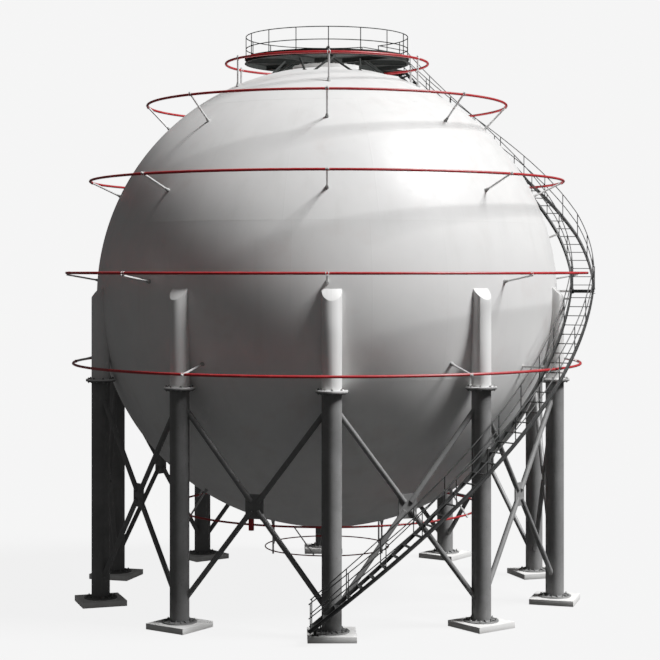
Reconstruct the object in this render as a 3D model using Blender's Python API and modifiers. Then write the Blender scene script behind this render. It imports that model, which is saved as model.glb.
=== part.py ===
"""A spherical gas tank on ten columns, with spray rings, a spiral stair and a round top platform.

Metres, +Z up. The origin is on the ground, on the vertical axis of the sphere.
Azimuths run from -Y, the front, towards +X.
"""

import math

import bmesh
import bpy
from mathutils import Matrix, Vector

# Gap between pieces that touch
GAP = 0.0003

# Shell
SHELL_RADIUS = 7.85
SHELL_WALL = 0.045
SHELL_CENTRE = 10.06
SHELL_SEGMENTS = 40
SHELL_ROWS = 20
BELT_EDGES = {
    "top_crown": (54, 90),
    "upper_belt": (18, 54),
    "equator_belt": (-18, 18),
    "lower_belt": (-54, -18),
    "bottom_crown": (-90, -54),
}

# Columns, footings and braces
COLUMN_COUNT = 10
COLUMN_CIRCLE = 7.875
COLUMN_RADIUS = 0.304
COLUMN_SIDES = 12
FOOTING_SIDE = 1.465
FOOTING_HEIGHT = 0.194
BASE_PLATE_RADIUS = 0.54
BASE_PLATE_THICKNESS = 0.04
FLANGE_RADIUS = 0.486
FLANGE_THICKNESS = 0.04
FLANGE_HEIGHT = 7.354
STUB_CAP_OUTER_HEIGHT = SHELL_CENTRE
STUB_CAP_INNER_HEIGHT = SHELL_CENTRE + 0.34
BRACE_RADIUS = 0.085
BRACE_SIDES = 6
BRACE_TOP = 6.99
BRACE_BOTTOM = 0.66
GUSSET_WIDTH = 0.58
GUSSET_HEIGHT = 0.75
GUSSET_THICKNESS = 0.05
GUSSET_LAP = 0.16

# Pipe rings: plan radius, height over the centre, count and first azimuth of the rods, upright rods or not
RING_PIPE_RADIUS = 0.045
THIN_RINGS = {"spray_ring_under": 0.036, "drain_ring": 0.024}
RING_SEGMENTS = 40
ROD_RADIUS = 0.033
ROD_PAST_RING = 0.1
RINGS = {
    "spray_ring_top": (3.467, 7.980, 6, 0, True),
    "spray_ring_shoulder": (6.143, 6.505, 8, -1, False),
    "spray_ring_upper": (8.072, 3.905, 8, -1, False),
    "spray_ring_equator": (8.865, 0.815, 8, -1, False),
    "spray_ring_lower": (8.639, -2.226, 6, 29, False),
    "spray_ring_under": (5.231, -7.153, 6, 0, False),
    "drain_ring": (2.120, -8.572, 6, 0, True),
}
MOVED_RODS = {("spray_ring_equator", 89): 98, ("spray_ring_shoulder", 134): 141}
INLET_AZIMUTH = -28.3
INLET_RADIUS = 0.09
INLET_BELOW = 0.19
INLET_ABOVE = 0.28
LINK_AZIMUTH = -12.5

# Stair: one path for the middle of the flights
STAIR_RADIUS = 8.742
STAIR_WIDTH = 0.715
STRINGER_THICKNESS = 0.06
STRINGER_DEPTH = 0.115
LANDING_EDGE_DEPTH = 0.16
TREAD_DEPTH = 0.13
TREAD_THICKNESS = 0.03
STAIR_FOOT_AZIMUTH = -4.4
STAIR_FOOT_HEIGHT = 0.42
LANDING_START = 73.9
LANDING_END = 84.2
LANDING_HEIGHT = SHELL_CENTRE + 0.203
LOWER_TREADS = 34
LOWER_FIRST_TREAD = 0.3
UPPER_TREADS = 28
UPPER_FIRST_TREAD = 0.7
SHOULDER_RADIUS = 8.87
TANGENT_HEIGHT = 5.652
STAIR_TOP_AZIMUTH = 143.6
STAIR_TOP_UNDER_DECK = 0.09
BRIDGE_DEPTH = 0.12
STRINGER_STEPS = 22
LANDING_STEPS = 5
LOWER_SPAN = (0.0, 1.01)
LANDING_SPAN = (-0.08, 1.08)
UPPER_SPAN = (-0.01, 1.0)
LEG_SHARE = 0.012
LEG_SIDE = 0.08
LEG_PLATE_SIDE = 0.2
LEG_PLATE_THICKNESS = 0.02
BRACKET_SIDE = 0.07
BRACKET_STUB_RADIUS = 7.6
SHELL_BRACKET_AZIMUTH = 55
LANDING_BRACKETS = (0.25, 0.75)
UPPER_BRACKETS = (0.25, 0.5, 0.75, 0.97)

# Handrails and guard rail
RAIL_RADIUS = 0.024
POST_RADIUS = 0.022
RAIL_OVER_STRINGER = 0.817
LOWER_MID_RAIL = 0.4
UPPER_MID_RAIL = 0.455
LOWER_RAIL_SPAN = (0.0, 0.992)
LANDING_RAIL_SPAN = (0.03, 0.95)
UPPER_RAIL_SPAN = (0.02, 1.0)
LOWER_POSTS = 12
LOWER_POST_SPAN = (0.004, 0.985)
LANDING_POST = 0.5
UPPER_POSTS = 11
UPPER_POST_SPAN = (0.05, 0.98)

# Top platform, heights over the centre
PLATFORM_RADIUS = 2.83
PLATFORM_SIDES = 32
DECK_TOP = 8.184
DECK_THICKNESS = 0.05
FRAME_BOTTOM = 7.987
FRAME_WIDTH = 0.08
FRAME_INNER_RADIUS = 0.6
HUB_SIDES = 16
FRAME_BEAMS = 8
BEAM_DEPTH_SHARE = 0.8
FRAME_FIRST_BEAM = 5.0
STRUT_RADIUS = 0.04
STRUT_SPREAD = 16.9
STRUT_HEAD_SPREAD = 0.6
STRUT_HEAD_RISE = 0.45
STRUT_TOP_RADIUS = 1.45
STRUT_FOOT_RADIUS = 1.98
GUARD_TOP = 8.903
GUARD_MIDDLE = 8.487
GUARD_GAP_START = 138.0
GUARD_GAP_END = 151.5
GUARD_POST_STEP = 22.5
GUARD_END_POST_INSET = 0.4
GUARD_CLEAR_OF_GAP = 10
GUARD_POINTS = 27
GUARD_INSET = 0.05
BRIDGE_LAP = 0.97
VENT_RADIUS = 0.055
VENT_TOP = 8.66
VENT_FLANGE_RADIUS = 0.11
VENT_FLANGE_THICKNESS = 0.025
VENT_HOLE_RADIUS = 0.16
DRUM_RADIUS = 1.18
DRUM_TOP = 7.885
DRUM_SIDES = 20

# Values worked out from the ones above
COLUMN_STEP = 360 / COLUMN_COUNT
FRAME_TOP = DECK_TOP - DECK_THICKNESS - GAP
STAIR_TOP_HEIGHT = SHELL_CENTRE + DECK_TOP - STAIR_TOP_UNDER_DECK
ROW_STEP = 180 / SHELL_ROWS
HALF_WIDTH = STAIR_WIDTH / 2
ROOT_DEPTH = 2 * SHELL_WALL


def clear_scene():
    """Remove the objects, meshes and collections that the file opened with."""
    for obj in list(bpy.data.objects):
        bpy.data.objects.remove(obj)
    for collection in list(bpy.data.collections):
        bpy.data.collections.remove(collection)


def make_collection(name):
    """A collection of the scene."""
    collection = bpy.data.collections.new(name)
    bpy.context.scene.collection.children.link(collection)
    return collection


def make_material(name, colour, roughness, metallic):
    """A Principled material with one colour."""
    material = bpy.data.materials.new(name)
    material.use_nodes = True
    shader = material.node_tree.nodes["Principled BSDF"]
    shader.inputs["Base Color"].default_value = (*colour, 1)
    shader.inputs["Roughness"].default_value = roughness
    shader.inputs["Metallic"].default_value = metallic
    return material


clear_scene()
PARTS = make_collection("spherical_gas_tank")
CUTTERS = make_collection("cutters")
SHELL_PAINT = make_material("shell_paint", (0.80, 0.80, 0.79), 0.42, 0.0)
COLUMN_PAINT = make_material("column_paint", (0.10, 0.10, 0.10), 0.5, 0.0)
CONCRETE = make_material("footing_concrete", (0.62, 0.62, 0.60), 0.9, 0.0)
RED_PIPE = make_material("spray_pipe_red", (0.42, 0.03, 0.04), 0.4, 0.0)
STAIR_STEEL = make_material("stair_steel", (0.035, 0.036, 0.036), 0.55, 0.3)
PLATFORM_STEEL = make_material("platform_steel", (0.03, 0.034, 0.032), 0.6, 0.3)


def on_plan(radius, azimuth, height):
    """The point at a plan radius, an azimuth in degrees and a height over the ground."""
    angle = math.radians(azimuth)
    return Vector((radius * math.sin(angle), -radius * math.cos(angle), height))


def turned_to(azimuth):
    """The rotation about +Z that takes the front, -Y, to an azimuth."""
    return Matrix.Rotation(math.radians(azimuth), 4, "Z")


def add_object(name, data, material, collection):
    """An object of a mesh or a curve, in a collection."""
    obj = bpy.data.objects.new(name, data)
    collection.objects.link(obj)
    data.materials.clear()
    if material:
        data.materials.append(material)
    return obj


def add_part(name, mesh, material):
    """A node of the tank."""
    return add_object(name, mesh, material, PARTS)


def from_bmesh(name, bm):
    """A mesh from a bmesh with its faces turned out."""
    bmesh.ops.recalc_face_normals(bm, faces=bm.faces)
    mesh = bpy.data.meshes.new(name)
    bm.to_mesh(mesh)
    bm.free()
    return mesh


def helper(mesh):
    """A cutter or a piece to be joined: seen as wire and left out of a render."""
    obj = add_object(mesh.name, mesh, None, CUTTERS)
    obj.hide_render = True
    obj.display_type = "WIRE"
    return obj


def baked(obj):
    """The mesh of an object with its modifiers applied, in world space. The object goes."""
    bpy.context.view_layer.update()
    graph = bpy.context.evaluated_depsgraph_get()
    mesh = bpy.data.meshes.new_from_object(obj.evaluated_get(graph))
    mesh.transform(obj.matrix_world)
    mesh.name = obj.name
    bpy.data.objects.remove(obj)
    bm = bmesh.new()
    bm.from_mesh(mesh)
    bmesh.ops.remove_doubles(bm, verts=bm.verts, dist=1e-5)
    bmesh.ops.recalc_face_normals(bm, faces=bm.faces)
    bm.to_mesh(mesh)
    bm.free()
    return mesh


def combine(mesh, others, operation):
    """The first mesh joined with, or cut by, the others."""
    group = bpy.data.collections.new("tools")
    CUTTERS.children.link(group)
    tools = [helper(other) for other in others]
    for tool in tools:
        group.objects.link(tool)
    base = helper(mesh)
    modifier = base.modifiers.new(operation.title(), "BOOLEAN")
    modifier.operation = operation
    modifier.solver = "EXACT"
    modifier.operand_type = "COLLECTION"
    modifier.collection = group
    result = baked(base)
    for tool in tools:
        bpy.data.objects.remove(tool)
    bpy.data.collections.remove(group)
    return result


def join(mesh, others):
    """One closed body from pieces that run into each other."""
    return combine(mesh, others, "UNION")


def cut(mesh, others):
    """A mesh without what the others fill."""
    return combine(mesh, others, "DIFFERENCE")


def box(name, size, matrix):
    """A box of a size, with its middle at the matrix."""
    bm = bmesh.new()
    bmesh.ops.create_cube(bm, size=1, matrix=matrix @ Matrix.Diagonal((*size, 1)))
    return from_bmesh(name, bm)


def rod(name, start, end, radius, sides):
    """A straight round bar from one point to another."""
    along = end - start
    turn = along.to_track_quat("Z", "X").to_matrix().to_4x4()
    bm = bmesh.new()
    bmesh.ops.create_cone(
        bm,
        cap_ends=True,
        segments=sides,
        radius1=radius,
        radius2=radius,
        depth=along.length,
        matrix=Matrix.Translation((start + end) / 2) @ turn,
    )
    return from_bmesh(name, bm)


def beam(name, start, end, side):
    """A square bar between two points."""
    along = end - start
    turn = along.to_track_quat("Y", "Z").to_matrix().to_4x4()
    return box(name, (side, along.length, side), Matrix.Translation((start + end) / 2) @ turn)


def turned(name, profile, steps):
    """A solid turned about +Z from (radius, height) points, listed from the top down."""
    mesh = bpy.data.meshes.new(name)
    points = [(radius, 0, height) for radius, height in profile]
    mesh.from_pydata(points, [(i, i + 1) for i in range(len(points) - 1)], [])
    obj = helper(mesh)
    screw = obj.modifiers.new("Screw", "SCREW")
    screw.steps = steps
    screw.render_steps = steps
    screw.use_merge_vertices = True
    screw.merge_threshold = 0.0001
    return baked(obj)


def sweep(name, points, cyclic=False, radius=0.0, section=None):
    """A tube, or a bar with a section of its own, along points."""
    curve = bpy.data.curves.new(name, "CURVE")
    curve.dimensions = "3D"
    curve.twist_mode = "Z_UP"
    curve.use_fill_caps = True
    spline = curve.splines.new("POLY")
    spline.points.add(len(points) - 1)
    for place, point in zip(spline.points, points):
        place.co = (*point, 1)
    spline.use_cyclic_u = cyclic
    if section:
        curve.bevel_mode = "OBJECT"
        curve.bevel_object = section
    else:
        curve.bevel_depth = radius
        curve.bevel_resolution = 0
    obj = add_object(name, curve, None, CUTTERS)
    return baked(obj)


def in_triangles(mesh):
    """A mesh with its faces split the same way every time, so that a bar and its cutter match."""
    bm = bmesh.new()
    bm.from_mesh(mesh)
    bmesh.ops.triangulate(bm, faces=bm.faces, quad_method="FIXED")
    bm.to_mesh(mesh)
    bm.free()
    return mesh


def rectangle_section(width, depth):
    """A flat outline that a sweep follows: width across, depth up."""
    curve = bpy.data.curves.new("section", "CURVE")
    curve.dimensions = "2D"
    spline = curve.splines.new("POLY")
    spline.points.add(3)
    corners = ((-1, -1), (1, -1), (1, 1), (-1, 1))
    for place, (x, y) in zip(spline.points, corners):
        place.co = (x * width / 2, y * depth / 2, 0, 1)
    spline.use_cyclic_u = True
    return add_object("section", curve, None, CUTTERS)


def slab(name, outline, bottom, top):
    """A flat plate with an outline of plan points, made from a filled 2D curve."""
    curve = bpy.data.curves.new(name, "CURVE")
    curve.dimensions = "2D"
    curve.fill_mode = "BOTH"
    curve.extrude = (top - bottom) / 2
    spline = curve.splines.new("POLY")
    spline.points.add(len(outline) - 1)
    for place, point in zip(spline.points, outline):
        place.co = (point.x, point.y, 0, 1)
    spline.use_cyclic_u = True
    obj = add_object(name, curve, None, CUTTERS)
    obj.location.z = (bottom + top) / 2
    return baked(obj)


def smooth(mesh, angle=40):
    """Shade round faces smooth and keep edges that are sharper than the angle."""
    mesh.shade_smooth()
    mesh.set_sharp_from_angle(angle=math.radians(angle))
    return mesh


def meridian(radius, latitudes):
    """(plan radius, height) points of a sphere round the shell's centre."""
    points = []
    for latitude in latitudes:
        angle = math.radians(latitude)
        points.append((radius * math.cos(angle), SHELL_CENTRE + radius * math.sin(angle)))
    return points


def ball(name, radius):
    """A ball with the facets of the shell."""
    latitudes = [90 - ROW_STEP * row for row in range(SHELL_ROWS + 1)]
    return turned(name, meridian(radius, latitudes), SHELL_SEGMENTS)


def shell_cutter():
    """The space of the shell and a gap round it."""
    return ball("shell_cutter", SHELL_RADIUS + GAP)


def belt_mesh(name, low, high):
    """One belt or crown of the shell between two latitudes, with its wall."""
    trim = math.degrees(GAP / 2 / SHELL_RADIUS)
    rows = round((high - low) / ROW_STEP)
    latitudes = [high - ROW_STEP * row for row in range(rows + 1)]
    if high < 90:
        latitudes[0] -= trim
    if low > -90:
        latitudes[-1] += trim
    outer = meridian(SHELL_RADIUS, latitudes)
    inner = meridian(SHELL_RADIUS - SHELL_WALL, reversed(latitudes))
    if low == -90:
        return turned(name, inner + outer, SHELL_SEGMENTS)
    if high == 90:
        return turned(name, outer + inner, SHELL_SEGMENTS)
    return turned(name, outer + inner + outer[:1], SHELL_SEGMENTS)


def stub_mesh():
    """The upper end of column 1, with its flange and its slanted cap, up to the shell's wall."""
    bottom = FLANGE_HEIGHT + GAP
    top = STUB_CAP_INNER_HEIGHT + COLUMN_RADIUS
    profile = (
        (0, top),
        (COLUMN_RADIUS, top),
        (COLUMN_RADIUS, bottom + FLANGE_THICKNESS),
        (FLANGE_RADIUS, bottom + FLANGE_THICKNESS),
        (FLANGE_RADIUS, bottom),
        (0, bottom),
    )
    bm = bmesh.new()
    bm.from_mesh(turned("stub", profile, COLUMN_SIDES))
    bmesh.ops.translate(bm, verts=bm.verts, vec=(0, -COLUMN_CIRCLE, 0))
    outer = Vector((0, -COLUMN_CIRCLE - COLUMN_RADIUS, STUB_CAP_OUTER_HEIGHT))
    inner = Vector((0, -SHELL_RADIUS, STUB_CAP_INNER_HEIGHT))
    slope = (inner - outer).normalized()
    normal = Vector((1, 0, 0)).cross(slope)
    result = bmesh.ops.bisect_plane(
        bm,
        geom=bm.verts[:] + bm.edges[:] + bm.faces[:],
        plane_co=outer,
        plane_no=normal if normal.z > 0 else -normal,
        clear_outer=True,
    )
    rim = [item for item in result["geom_cut"] if isinstance(item, bmesh.types.BMEdge)]
    bmesh.ops.contextual_create(bm, geom=rim)
    return from_bmesh("stub", bm)


def make_shell():
    """The belts and crowns. The equator belt carries the column stubs."""
    for name, (low, high) in BELT_EDGES.items():
        mesh = belt_mesh(name, low, high)
        if name == "equator_belt":
            stub = cut(stub_mesh(), [ball("core", SHELL_RADIUS - SHELL_WALL / 2)])
            stubs = []
            for number in range(COLUMN_COUNT):
                copy = stub.copy()
                copy.transform(turned_to(COLUMN_STEP * number))
                stubs.append(copy)
            mesh = join(mesh, stubs)
            mesh.name = name
        add_part(name, smooth(mesh), SHELL_PAINT)


def column_mesh():
    """A lower column on its axis: base plate, pipe and flange."""
    foot = FOOTING_HEIGHT + GAP
    profile = (
        (0, FLANGE_HEIGHT),
        (FLANGE_RADIUS, FLANGE_HEIGHT),
        (FLANGE_RADIUS, FLANGE_HEIGHT - FLANGE_THICKNESS),
        (COLUMN_RADIUS, FLANGE_HEIGHT - FLANGE_THICKNESS),
        (COLUMN_RADIUS, foot + BASE_PLATE_THICKNESS),
        (BASE_PLATE_RADIUS, foot + BASE_PLATE_THICKNESS),
        (BASE_PLATE_RADIUS, foot),
        (0, foot),
    )
    return turned("column", profile, COLUMN_SIDES)


def column_cutter(azimuth):
    """The space of a column and its stub, without flanges, and a gap round it."""
    place = on_plan(COLUMN_CIRCLE, azimuth, 0)
    top = STUB_CAP_INNER_HEIGHT + COLUMN_RADIUS
    profile = ((0, top), (COLUMN_RADIUS + GAP, top), (COLUMN_RADIUS + GAP, 0), (0, 0))
    mesh = turned("column_cutter", profile, COLUMN_SIDES)
    mesh.transform(Matrix.Translation(place) @ turned_to(azimuth))
    return mesh


def brace_mesh():
    """The X brace of the bay between columns 1 and 2, with its gusset plate."""
    left = on_plan(COLUMN_CIRCLE, 0, 0)
    right = on_plan(COLUMN_CIRCLE, COLUMN_STEP, 0)
    middle = (left + right) / 2 + Vector((0, 0, (BRACE_TOP + BRACE_BOTTOM) / 2))
    turn = turned_to(COLUMN_STEP / 2)
    plate = box(
        "gusset",
        (GUSSET_WIDTH, GUSSET_THICKNESS, GUSSET_HEIGHT),
        Matrix.Translation(middle) @ turn,
    )
    pipes = []
    for place in (left, right):
        for height in (BRACE_BOTTOM, BRACE_TOP):
            end = place + Vector((0, 0, height))
            reach = (end - middle).normalized() * GUSSET_LAP
            pipes.append(rod("pipe", middle + reach, end, BRACE_RADIUS, BRACE_SIDES))
    brace = join(plate, pipes)
    return cut(brace, [column_cutter(0), column_cutter(COLUMN_STEP)])


def make_columns():
    """The ten columns, footings and braces. Copies share a mesh."""
    column = smooth(column_mesh())
    brace = smooth(brace_mesh())
    middle = Matrix.Translation((0, 0, FOOTING_HEIGHT / 2))
    footing = box("footing", (FOOTING_SIDE, FOOTING_SIDE, FOOTING_HEIGHT), middle)
    for number in range(COLUMN_COUNT):
        azimuth = COLUMN_STEP * number
        place = on_plan(COLUMN_CIRCLE, azimuth, 0)
        for kind, mesh, paint in (("column", column, COLUMN_PAINT), ("footing", footing, CONCRETE)):
            part = add_part(f"{kind}_{number + 1:02d}", mesh, paint)
            part.location = place
            part.rotation_euler.z = math.radians(azimuth)
        part = add_part(f"brace_{number + 1:02d}", brace, COLUMN_PAINT)
        part.rotation_euler.z = math.radians(azimuth)


def standoffs(name):
    """The rods that carry a ring, from the shell's wall to just past the ring."""
    radius, height, count, first, upright = RINGS[name]
    pieces = []
    for number in range(count):
        azimuth = first + 360 * number / count
        azimuth = MOVED_RODS.get((name, azimuth), azimuth)
        at_ring = on_plan(radius, azimuth, SHELL_CENTRE + height)
        if upright:
            out = Vector((0, 0, math.copysign(1, height)))
            level = math.sqrt(SHELL_RADIUS**2 - radius**2) * out.z
            at_shell = on_plan(radius, azimuth, SHELL_CENTRE + level)
        else:
            out = (at_ring - Vector((0, 0, SHELL_CENTRE))).normalized()
            at_shell = Vector((0, 0, SHELL_CENTRE)) + out * SHELL_RADIUS
        tip = at_ring + out * ROD_PAST_RING
        pieces.append(rod("rod", at_shell - out * ROOT_DEPTH, tip, ROD_RADIUS, 5))
    return pieces


def inlet_pipe():
    """The short upright inlet on the ring under the tank."""
    radius, height = RINGS["spray_ring_under"][:2]
    middle = on_plan(radius, INLET_AZIMUTH, SHELL_CENTRE + height)
    low = middle - Vector((0, 0, INLET_BELOW))
    return rod("inlet", low, middle + Vector((0, 0, INLET_ABOVE)), INLET_RADIUS, 8)


def link_pipe():
    """The pipe from the ring under the tank down to the drain ring."""
    outer_radius, outer_height = RINGS["spray_ring_under"][:2]
    inner_radius, inner_height = RINGS["drain_ring"][:2]
    pipe_radius = THIN_RINGS["drain_ring"]
    start = on_plan(outer_radius - pipe_radius, LINK_AZIMUTH, SHELL_CENTRE + outer_height)
    end = on_plan(inner_radius, LINK_AZIMUTH, SHELL_CENTRE + inner_height)
    return rod("link", start, end, pipe_radius, 6)


def ring_tube(name, margin=0.0):
    """The pipe of a ring, without its rods."""
    radius, height = RINGS[name][:2]
    points = []
    for number in range(RING_SEGMENTS):
        points.append(on_plan(radius, 360 * number / RING_SEGMENTS, SHELL_CENTRE + height))
    pipe_radius = THIN_RINGS.get(name, RING_PIPE_RADIUS)
    return sweep(name, points, cyclic=True, radius=pipe_radius + margin)


def make_rings():
    """The pipe rings round the shell, each joined with its rods."""
    for name in RINGS:
        pieces = standoffs(name)
        cutters = [shell_cutter()]
        if name == "spray_ring_under":
            pieces.append(inlet_pipe())
        if name == "drain_ring":
            pieces.append(link_pipe())
            cutters.append(ring_tube("spray_ring_under", 2 * GAP))
        ring = cut(join(ring_tube(name), pieces), cutters)
        add_part(name, smooth(ring), RED_PIPE)


def lower_path(share):
    """The middle of the lower flight, from its foot at 0 to the landing at 1."""
    azimuth = STAIR_FOOT_AZIMUTH + (LANDING_START - STAIR_FOOT_AZIMUTH) * share
    height = STAIR_FOOT_HEIGHT + (LANDING_HEIGHT - STAIR_FOOT_HEIGHT) * share
    return on_plan(STAIR_RADIUS, azimuth, height)


def landing_path(share):
    """The middle of the landing at the equator."""
    azimuth = LANDING_START + (LANDING_END - LANDING_START) * share
    return on_plan(STAIR_RADIUS, azimuth, LANDING_HEIGHT)


def upper_radius(level):
    """The plan radius of the upper flight at a level over the centre.

    It follows a sphere round the shell, then runs on straight where that sphere gets too flat.
    """
    bend_radius = math.sqrt(SHOULDER_RADIUS**2 - TANGENT_HEIGHT**2)
    if level < TANGENT_HEIGHT:
        return math.sqrt(SHOULDER_RADIUS**2 - level**2)
    return bend_radius - (level - TANGENT_HEIGHT) * TANGENT_HEIGHT / bend_radius


def upper_path(share):
    """The middle of the upper flight, from the landing at 0 to its top at 1."""
    azimuth = LANDING_END + (STAIR_TOP_AZIMUTH - LANDING_END) * share
    height = LANDING_HEIGHT + (STAIR_TOP_HEIGHT - LANDING_HEIGHT) * share
    level = height - SHELL_CENTRE
    foot_error = STAIR_RADIUS - upper_radius(LANDING_HEIGHT - SHELL_CENTRE)
    easing = max(0.0, 1 - 4 * share) * foot_error
    return on_plan(upper_radius(level) + easing, azimuth, height)


def outward(path, share):
    """The level direction to the right of someone who climbs the path."""
    step = 0.002
    along = path(share + step) - path(share - step)
    return Vector((along.y, -along.x, 0)).normalized()


def side_point(path, share, offset, lift=0.0):
    """A point beside the middle of a path, and over it."""
    return path(share) + outward(path, share) * offset + Vector((0, 0, lift))


def beside(path, steps, offset):
    """Points at an offset from the middle of a path."""
    return [side_point(path, share, offset) for share in steps]


def shares(count, start=0.0, end=1.0):
    """Even steps from start to end."""
    return [start + (end - start) * number / (count - 1) for number in range(count)]


def stringer(path, span, steps, offset, margin=0.0, depth=STRINGER_DEPTH):
    """The side bar of a flight or landing at an offset from its middle."""
    section = rectangle_section(STRINGER_THICKNESS + 2 * margin, depth + 2 * margin)
    points = [side_point(path, share, offset) for share in shares(steps, *span)]
    bar = sweep("stringer", points, section=section)
    bpy.data.objects.remove(section)
    return in_triangles(bar)


def treads(path, count, first):
    """The steps of a flight, set across it and let into both stringers.

    The first one lies a part of a step up, which keeps the rings that cross the stair between two steps.
    """
    pieces = []
    for number in range(count):
        share = (number + first) / count
        across = outward(path, share)
        along = Vector((0, 0, 1)).cross(across)
        turn = Matrix((across, along, Vector((0, 0, 1)))).transposed().to_4x4()
        size = (STAIR_WIDTH, TREAD_DEPTH, TREAD_THICKNESS)
        pieces.append(box("tread", size, Matrix.Translation(path(share)) @ turn))
    return pieces


def foot_leg():
    """The leg under the foot of the stair, with its plate on the footing."""
    top = side_point(lower_path, LEG_SHARE, -HALF_WIDTH)
    low = Vector((top.x, top.y, FOOTING_HEIGHT + GAP))
    size = (LEG_PLATE_SIDE, LEG_PLATE_SIDE, LEG_PLATE_THICKNESS)
    raised = Vector((0, 0, LEG_PLATE_THICKNESS / 2))
    plate = box("leg_plate", size, Matrix.Translation(low + raised))
    return [beam("leg", low, top, LEG_SIDE), plate]


def bracket(path, share, target):
    """A level arm from the inner stringer to what carries it."""
    start = side_point(path, share, -HALF_WIDTH)
    end = Vector((target.x, target.y, start.z))
    return beam("bracket", start, end, BRACKET_SIDE)


def end_block(azimuth, side):
    """A block, far larger than the stair, that trims a flight at the radial plane of a landing's end."""
    reach = 3 * STAIR_WIDTH
    middle = on_plan(STAIR_RADIUS, azimuth, LANDING_HEIGHT)
    turn = turned_to(azimuth)
    shift = Vector((side * (reach / 2 - GAP), 0, 0))
    return box("end_block", (reach, reach, reach), Matrix.Translation(middle + turn @ shift) @ turn)


def share_at(azimuth, first, last):
    """How far along a path that turns evenly an azimuth lies."""
    return (azimuth - first) / (last - first)


def make_lower_flight():
    """The flight from the ground to the landing at the equator."""
    inner = stringer(lower_path, LOWER_SPAN, STRINGER_STEPS, -HALF_WIDTH)
    outer = stringer(lower_path, LOWER_SPAN, STRINGER_STEPS, HALF_WIDTH)
    targets = (
        (COLUMN_STEP, COLUMN_CIRCLE),
        (SHELL_BRACKET_AZIMUTH, SHELL_RADIUS - 1),
        (2 * COLUMN_STEP, BRACKET_STUB_RADIUS),
    )
    arms = []
    for azimuth, target_radius in targets:
        share = share_at(azimuth, STAIR_FOOT_AZIMUTH, LANDING_START)
        arms.append(bracket(lower_path, share, on_plan(target_radius, azimuth, 0)))
    pieces = [outer] + treads(lower_path, LOWER_TREADS, LOWER_FIRST_TREAD) + foot_leg() + arms
    flight = join(inner, pieces)
    cutters = [column_cutter(COLUMN_STEP), column_cutter(2 * COLUMN_STEP)]
    cutters += [shell_cutter(), end_block(LANDING_START, 1)]
    flight = cut(flight, cutters)
    add_part("stair_lower_flight", smooth(flight, 30), STAIR_STEEL)


def landing_edge(offset, margin=0.0):
    """The edge bar of the landing at an offset from its middle."""
    return stringer(landing_path, LANDING_SPAN, LANDING_STEPS, offset, margin, LANDING_EDGE_DEPTH)


def make_landing():
    """The level landing between the flights, with its edge bars and its bracket."""
    steps = shares(LANDING_STEPS, *LANDING_SPAN)
    inner, outer = [landing_edge(offset) for offset in (-HALF_WIDTH, HALF_WIDTH)]
    outline = [side_point(landing_path, share, HALF_WIDTH) for share in steps]
    outline += [side_point(landing_path, share, -HALF_WIDTH) for share in reversed(steps)]
    half = TREAD_THICKNESS / 2
    plate = slab("plate", outline, LANDING_HEIGHT - half, LANDING_HEIGHT + half)
    arms = []
    for share in LANDING_BRACKETS:
        azimuth = LANDING_START + (LANDING_END - LANDING_START) * share
        arms.append(bracket(landing_path, share, on_plan(SHELL_RADIUS - ROOT_DEPTH, azimuth, 0)))
    landing = join(inner, [outer, plate] + arms)
    blocks = [end_block(LANDING_START, -1), end_block(LANDING_END, 1)]
    landing = cut(landing, [shell_cutter()] + blocks)
    add_part("stair_landing", smooth(landing, 30), STAIR_STEEL)


def make_upper_flight():
    """The flight from the landing over the shoulder of the tank to the bridge."""
    inner = stringer(upper_path, UPPER_SPAN, STRINGER_STEPS, -HALF_WIDTH)
    outer = stringer(upper_path, UPPER_SPAN, STRINGER_STEPS, HALF_WIDTH)
    arms = []
    for share in UPPER_BRACKETS:
        start = side_point(upper_path, share, -HALF_WIDTH)
        arms.append(beam("bracket", start, shell_point_below(upper_path(share)), BRACKET_SIDE))
    pieces = [outer] + treads(upper_path, UPPER_TREADS, UPPER_FIRST_TREAD) + arms
    flight = join(inner, pieces)
    flight = cut(flight, [shell_cutter(), end_block(LANDING_END, -1), bridge_cutter()])
    add_part("stair_upper_flight", smooth(flight, 30), STAIR_STEEL)


def shell_point_below(point):
    """The point just inside the shell in the direction of the shell's centre."""
    centre = Vector((0, 0, SHELL_CENTRE))
    return centre + (point - centre).normalized() * (SHELL_RADIUS - ROOT_DEPTH)


def bridge_outline(margin=0.0):
    """The corners of the bridge: two just inside the platform's edge, two at the top of the flight."""
    edge = PLATFORM_RADIUS * BRIDGE_LAP
    half = STRINGER_THICKNESS / 2 + margin
    return [
        on_plan(edge, GUARD_GAP_END, 0),
        side_point(upper_path, 1.0, HALF_WIDTH + half),
        side_point(upper_path, 1.0, -HALF_WIDTH - half),
        on_plan(edge, GUARD_GAP_START, 0),
    ]


def bridge_cutter():
    """The space of the bridge with a gap towards the flight, wider than the flight's ends."""
    outline = bridge_outline(STRINGER_THICKNESS / 2)
    away = (upper_path(1.0) - upper_path(0.99)).to_2d().normalized() * GAP
    shift = Vector((away.x, away.y, 0))
    outline[1] -= shift
    outline[2] -= shift
    low = STAIR_TOP_HEIGHT - STRINGER_DEPTH
    return slab("bridge_cutter", outline, low, STAIR_TOP_HEIGHT + STRINGER_DEPTH)


def make_bridge():
    """The level bridge from the top of the flight to the platform."""
    top = SHELL_CENTRE + DECK_TOP
    rim = PLATFORM_RADIUS + GAP
    profile = ((0, top + 1), (rim, top + 1), (rim, top - 1), (0, top - 1))
    platform_space = turned("platform_space", profile, PLATFORM_SIDES)
    mesh = cut(slab("stair_bridge", bridge_outline(), top - BRIDGE_DEPTH, top), [platform_space])
    add_part("stair_bridge", mesh, PLATFORM_STEEL)


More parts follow.
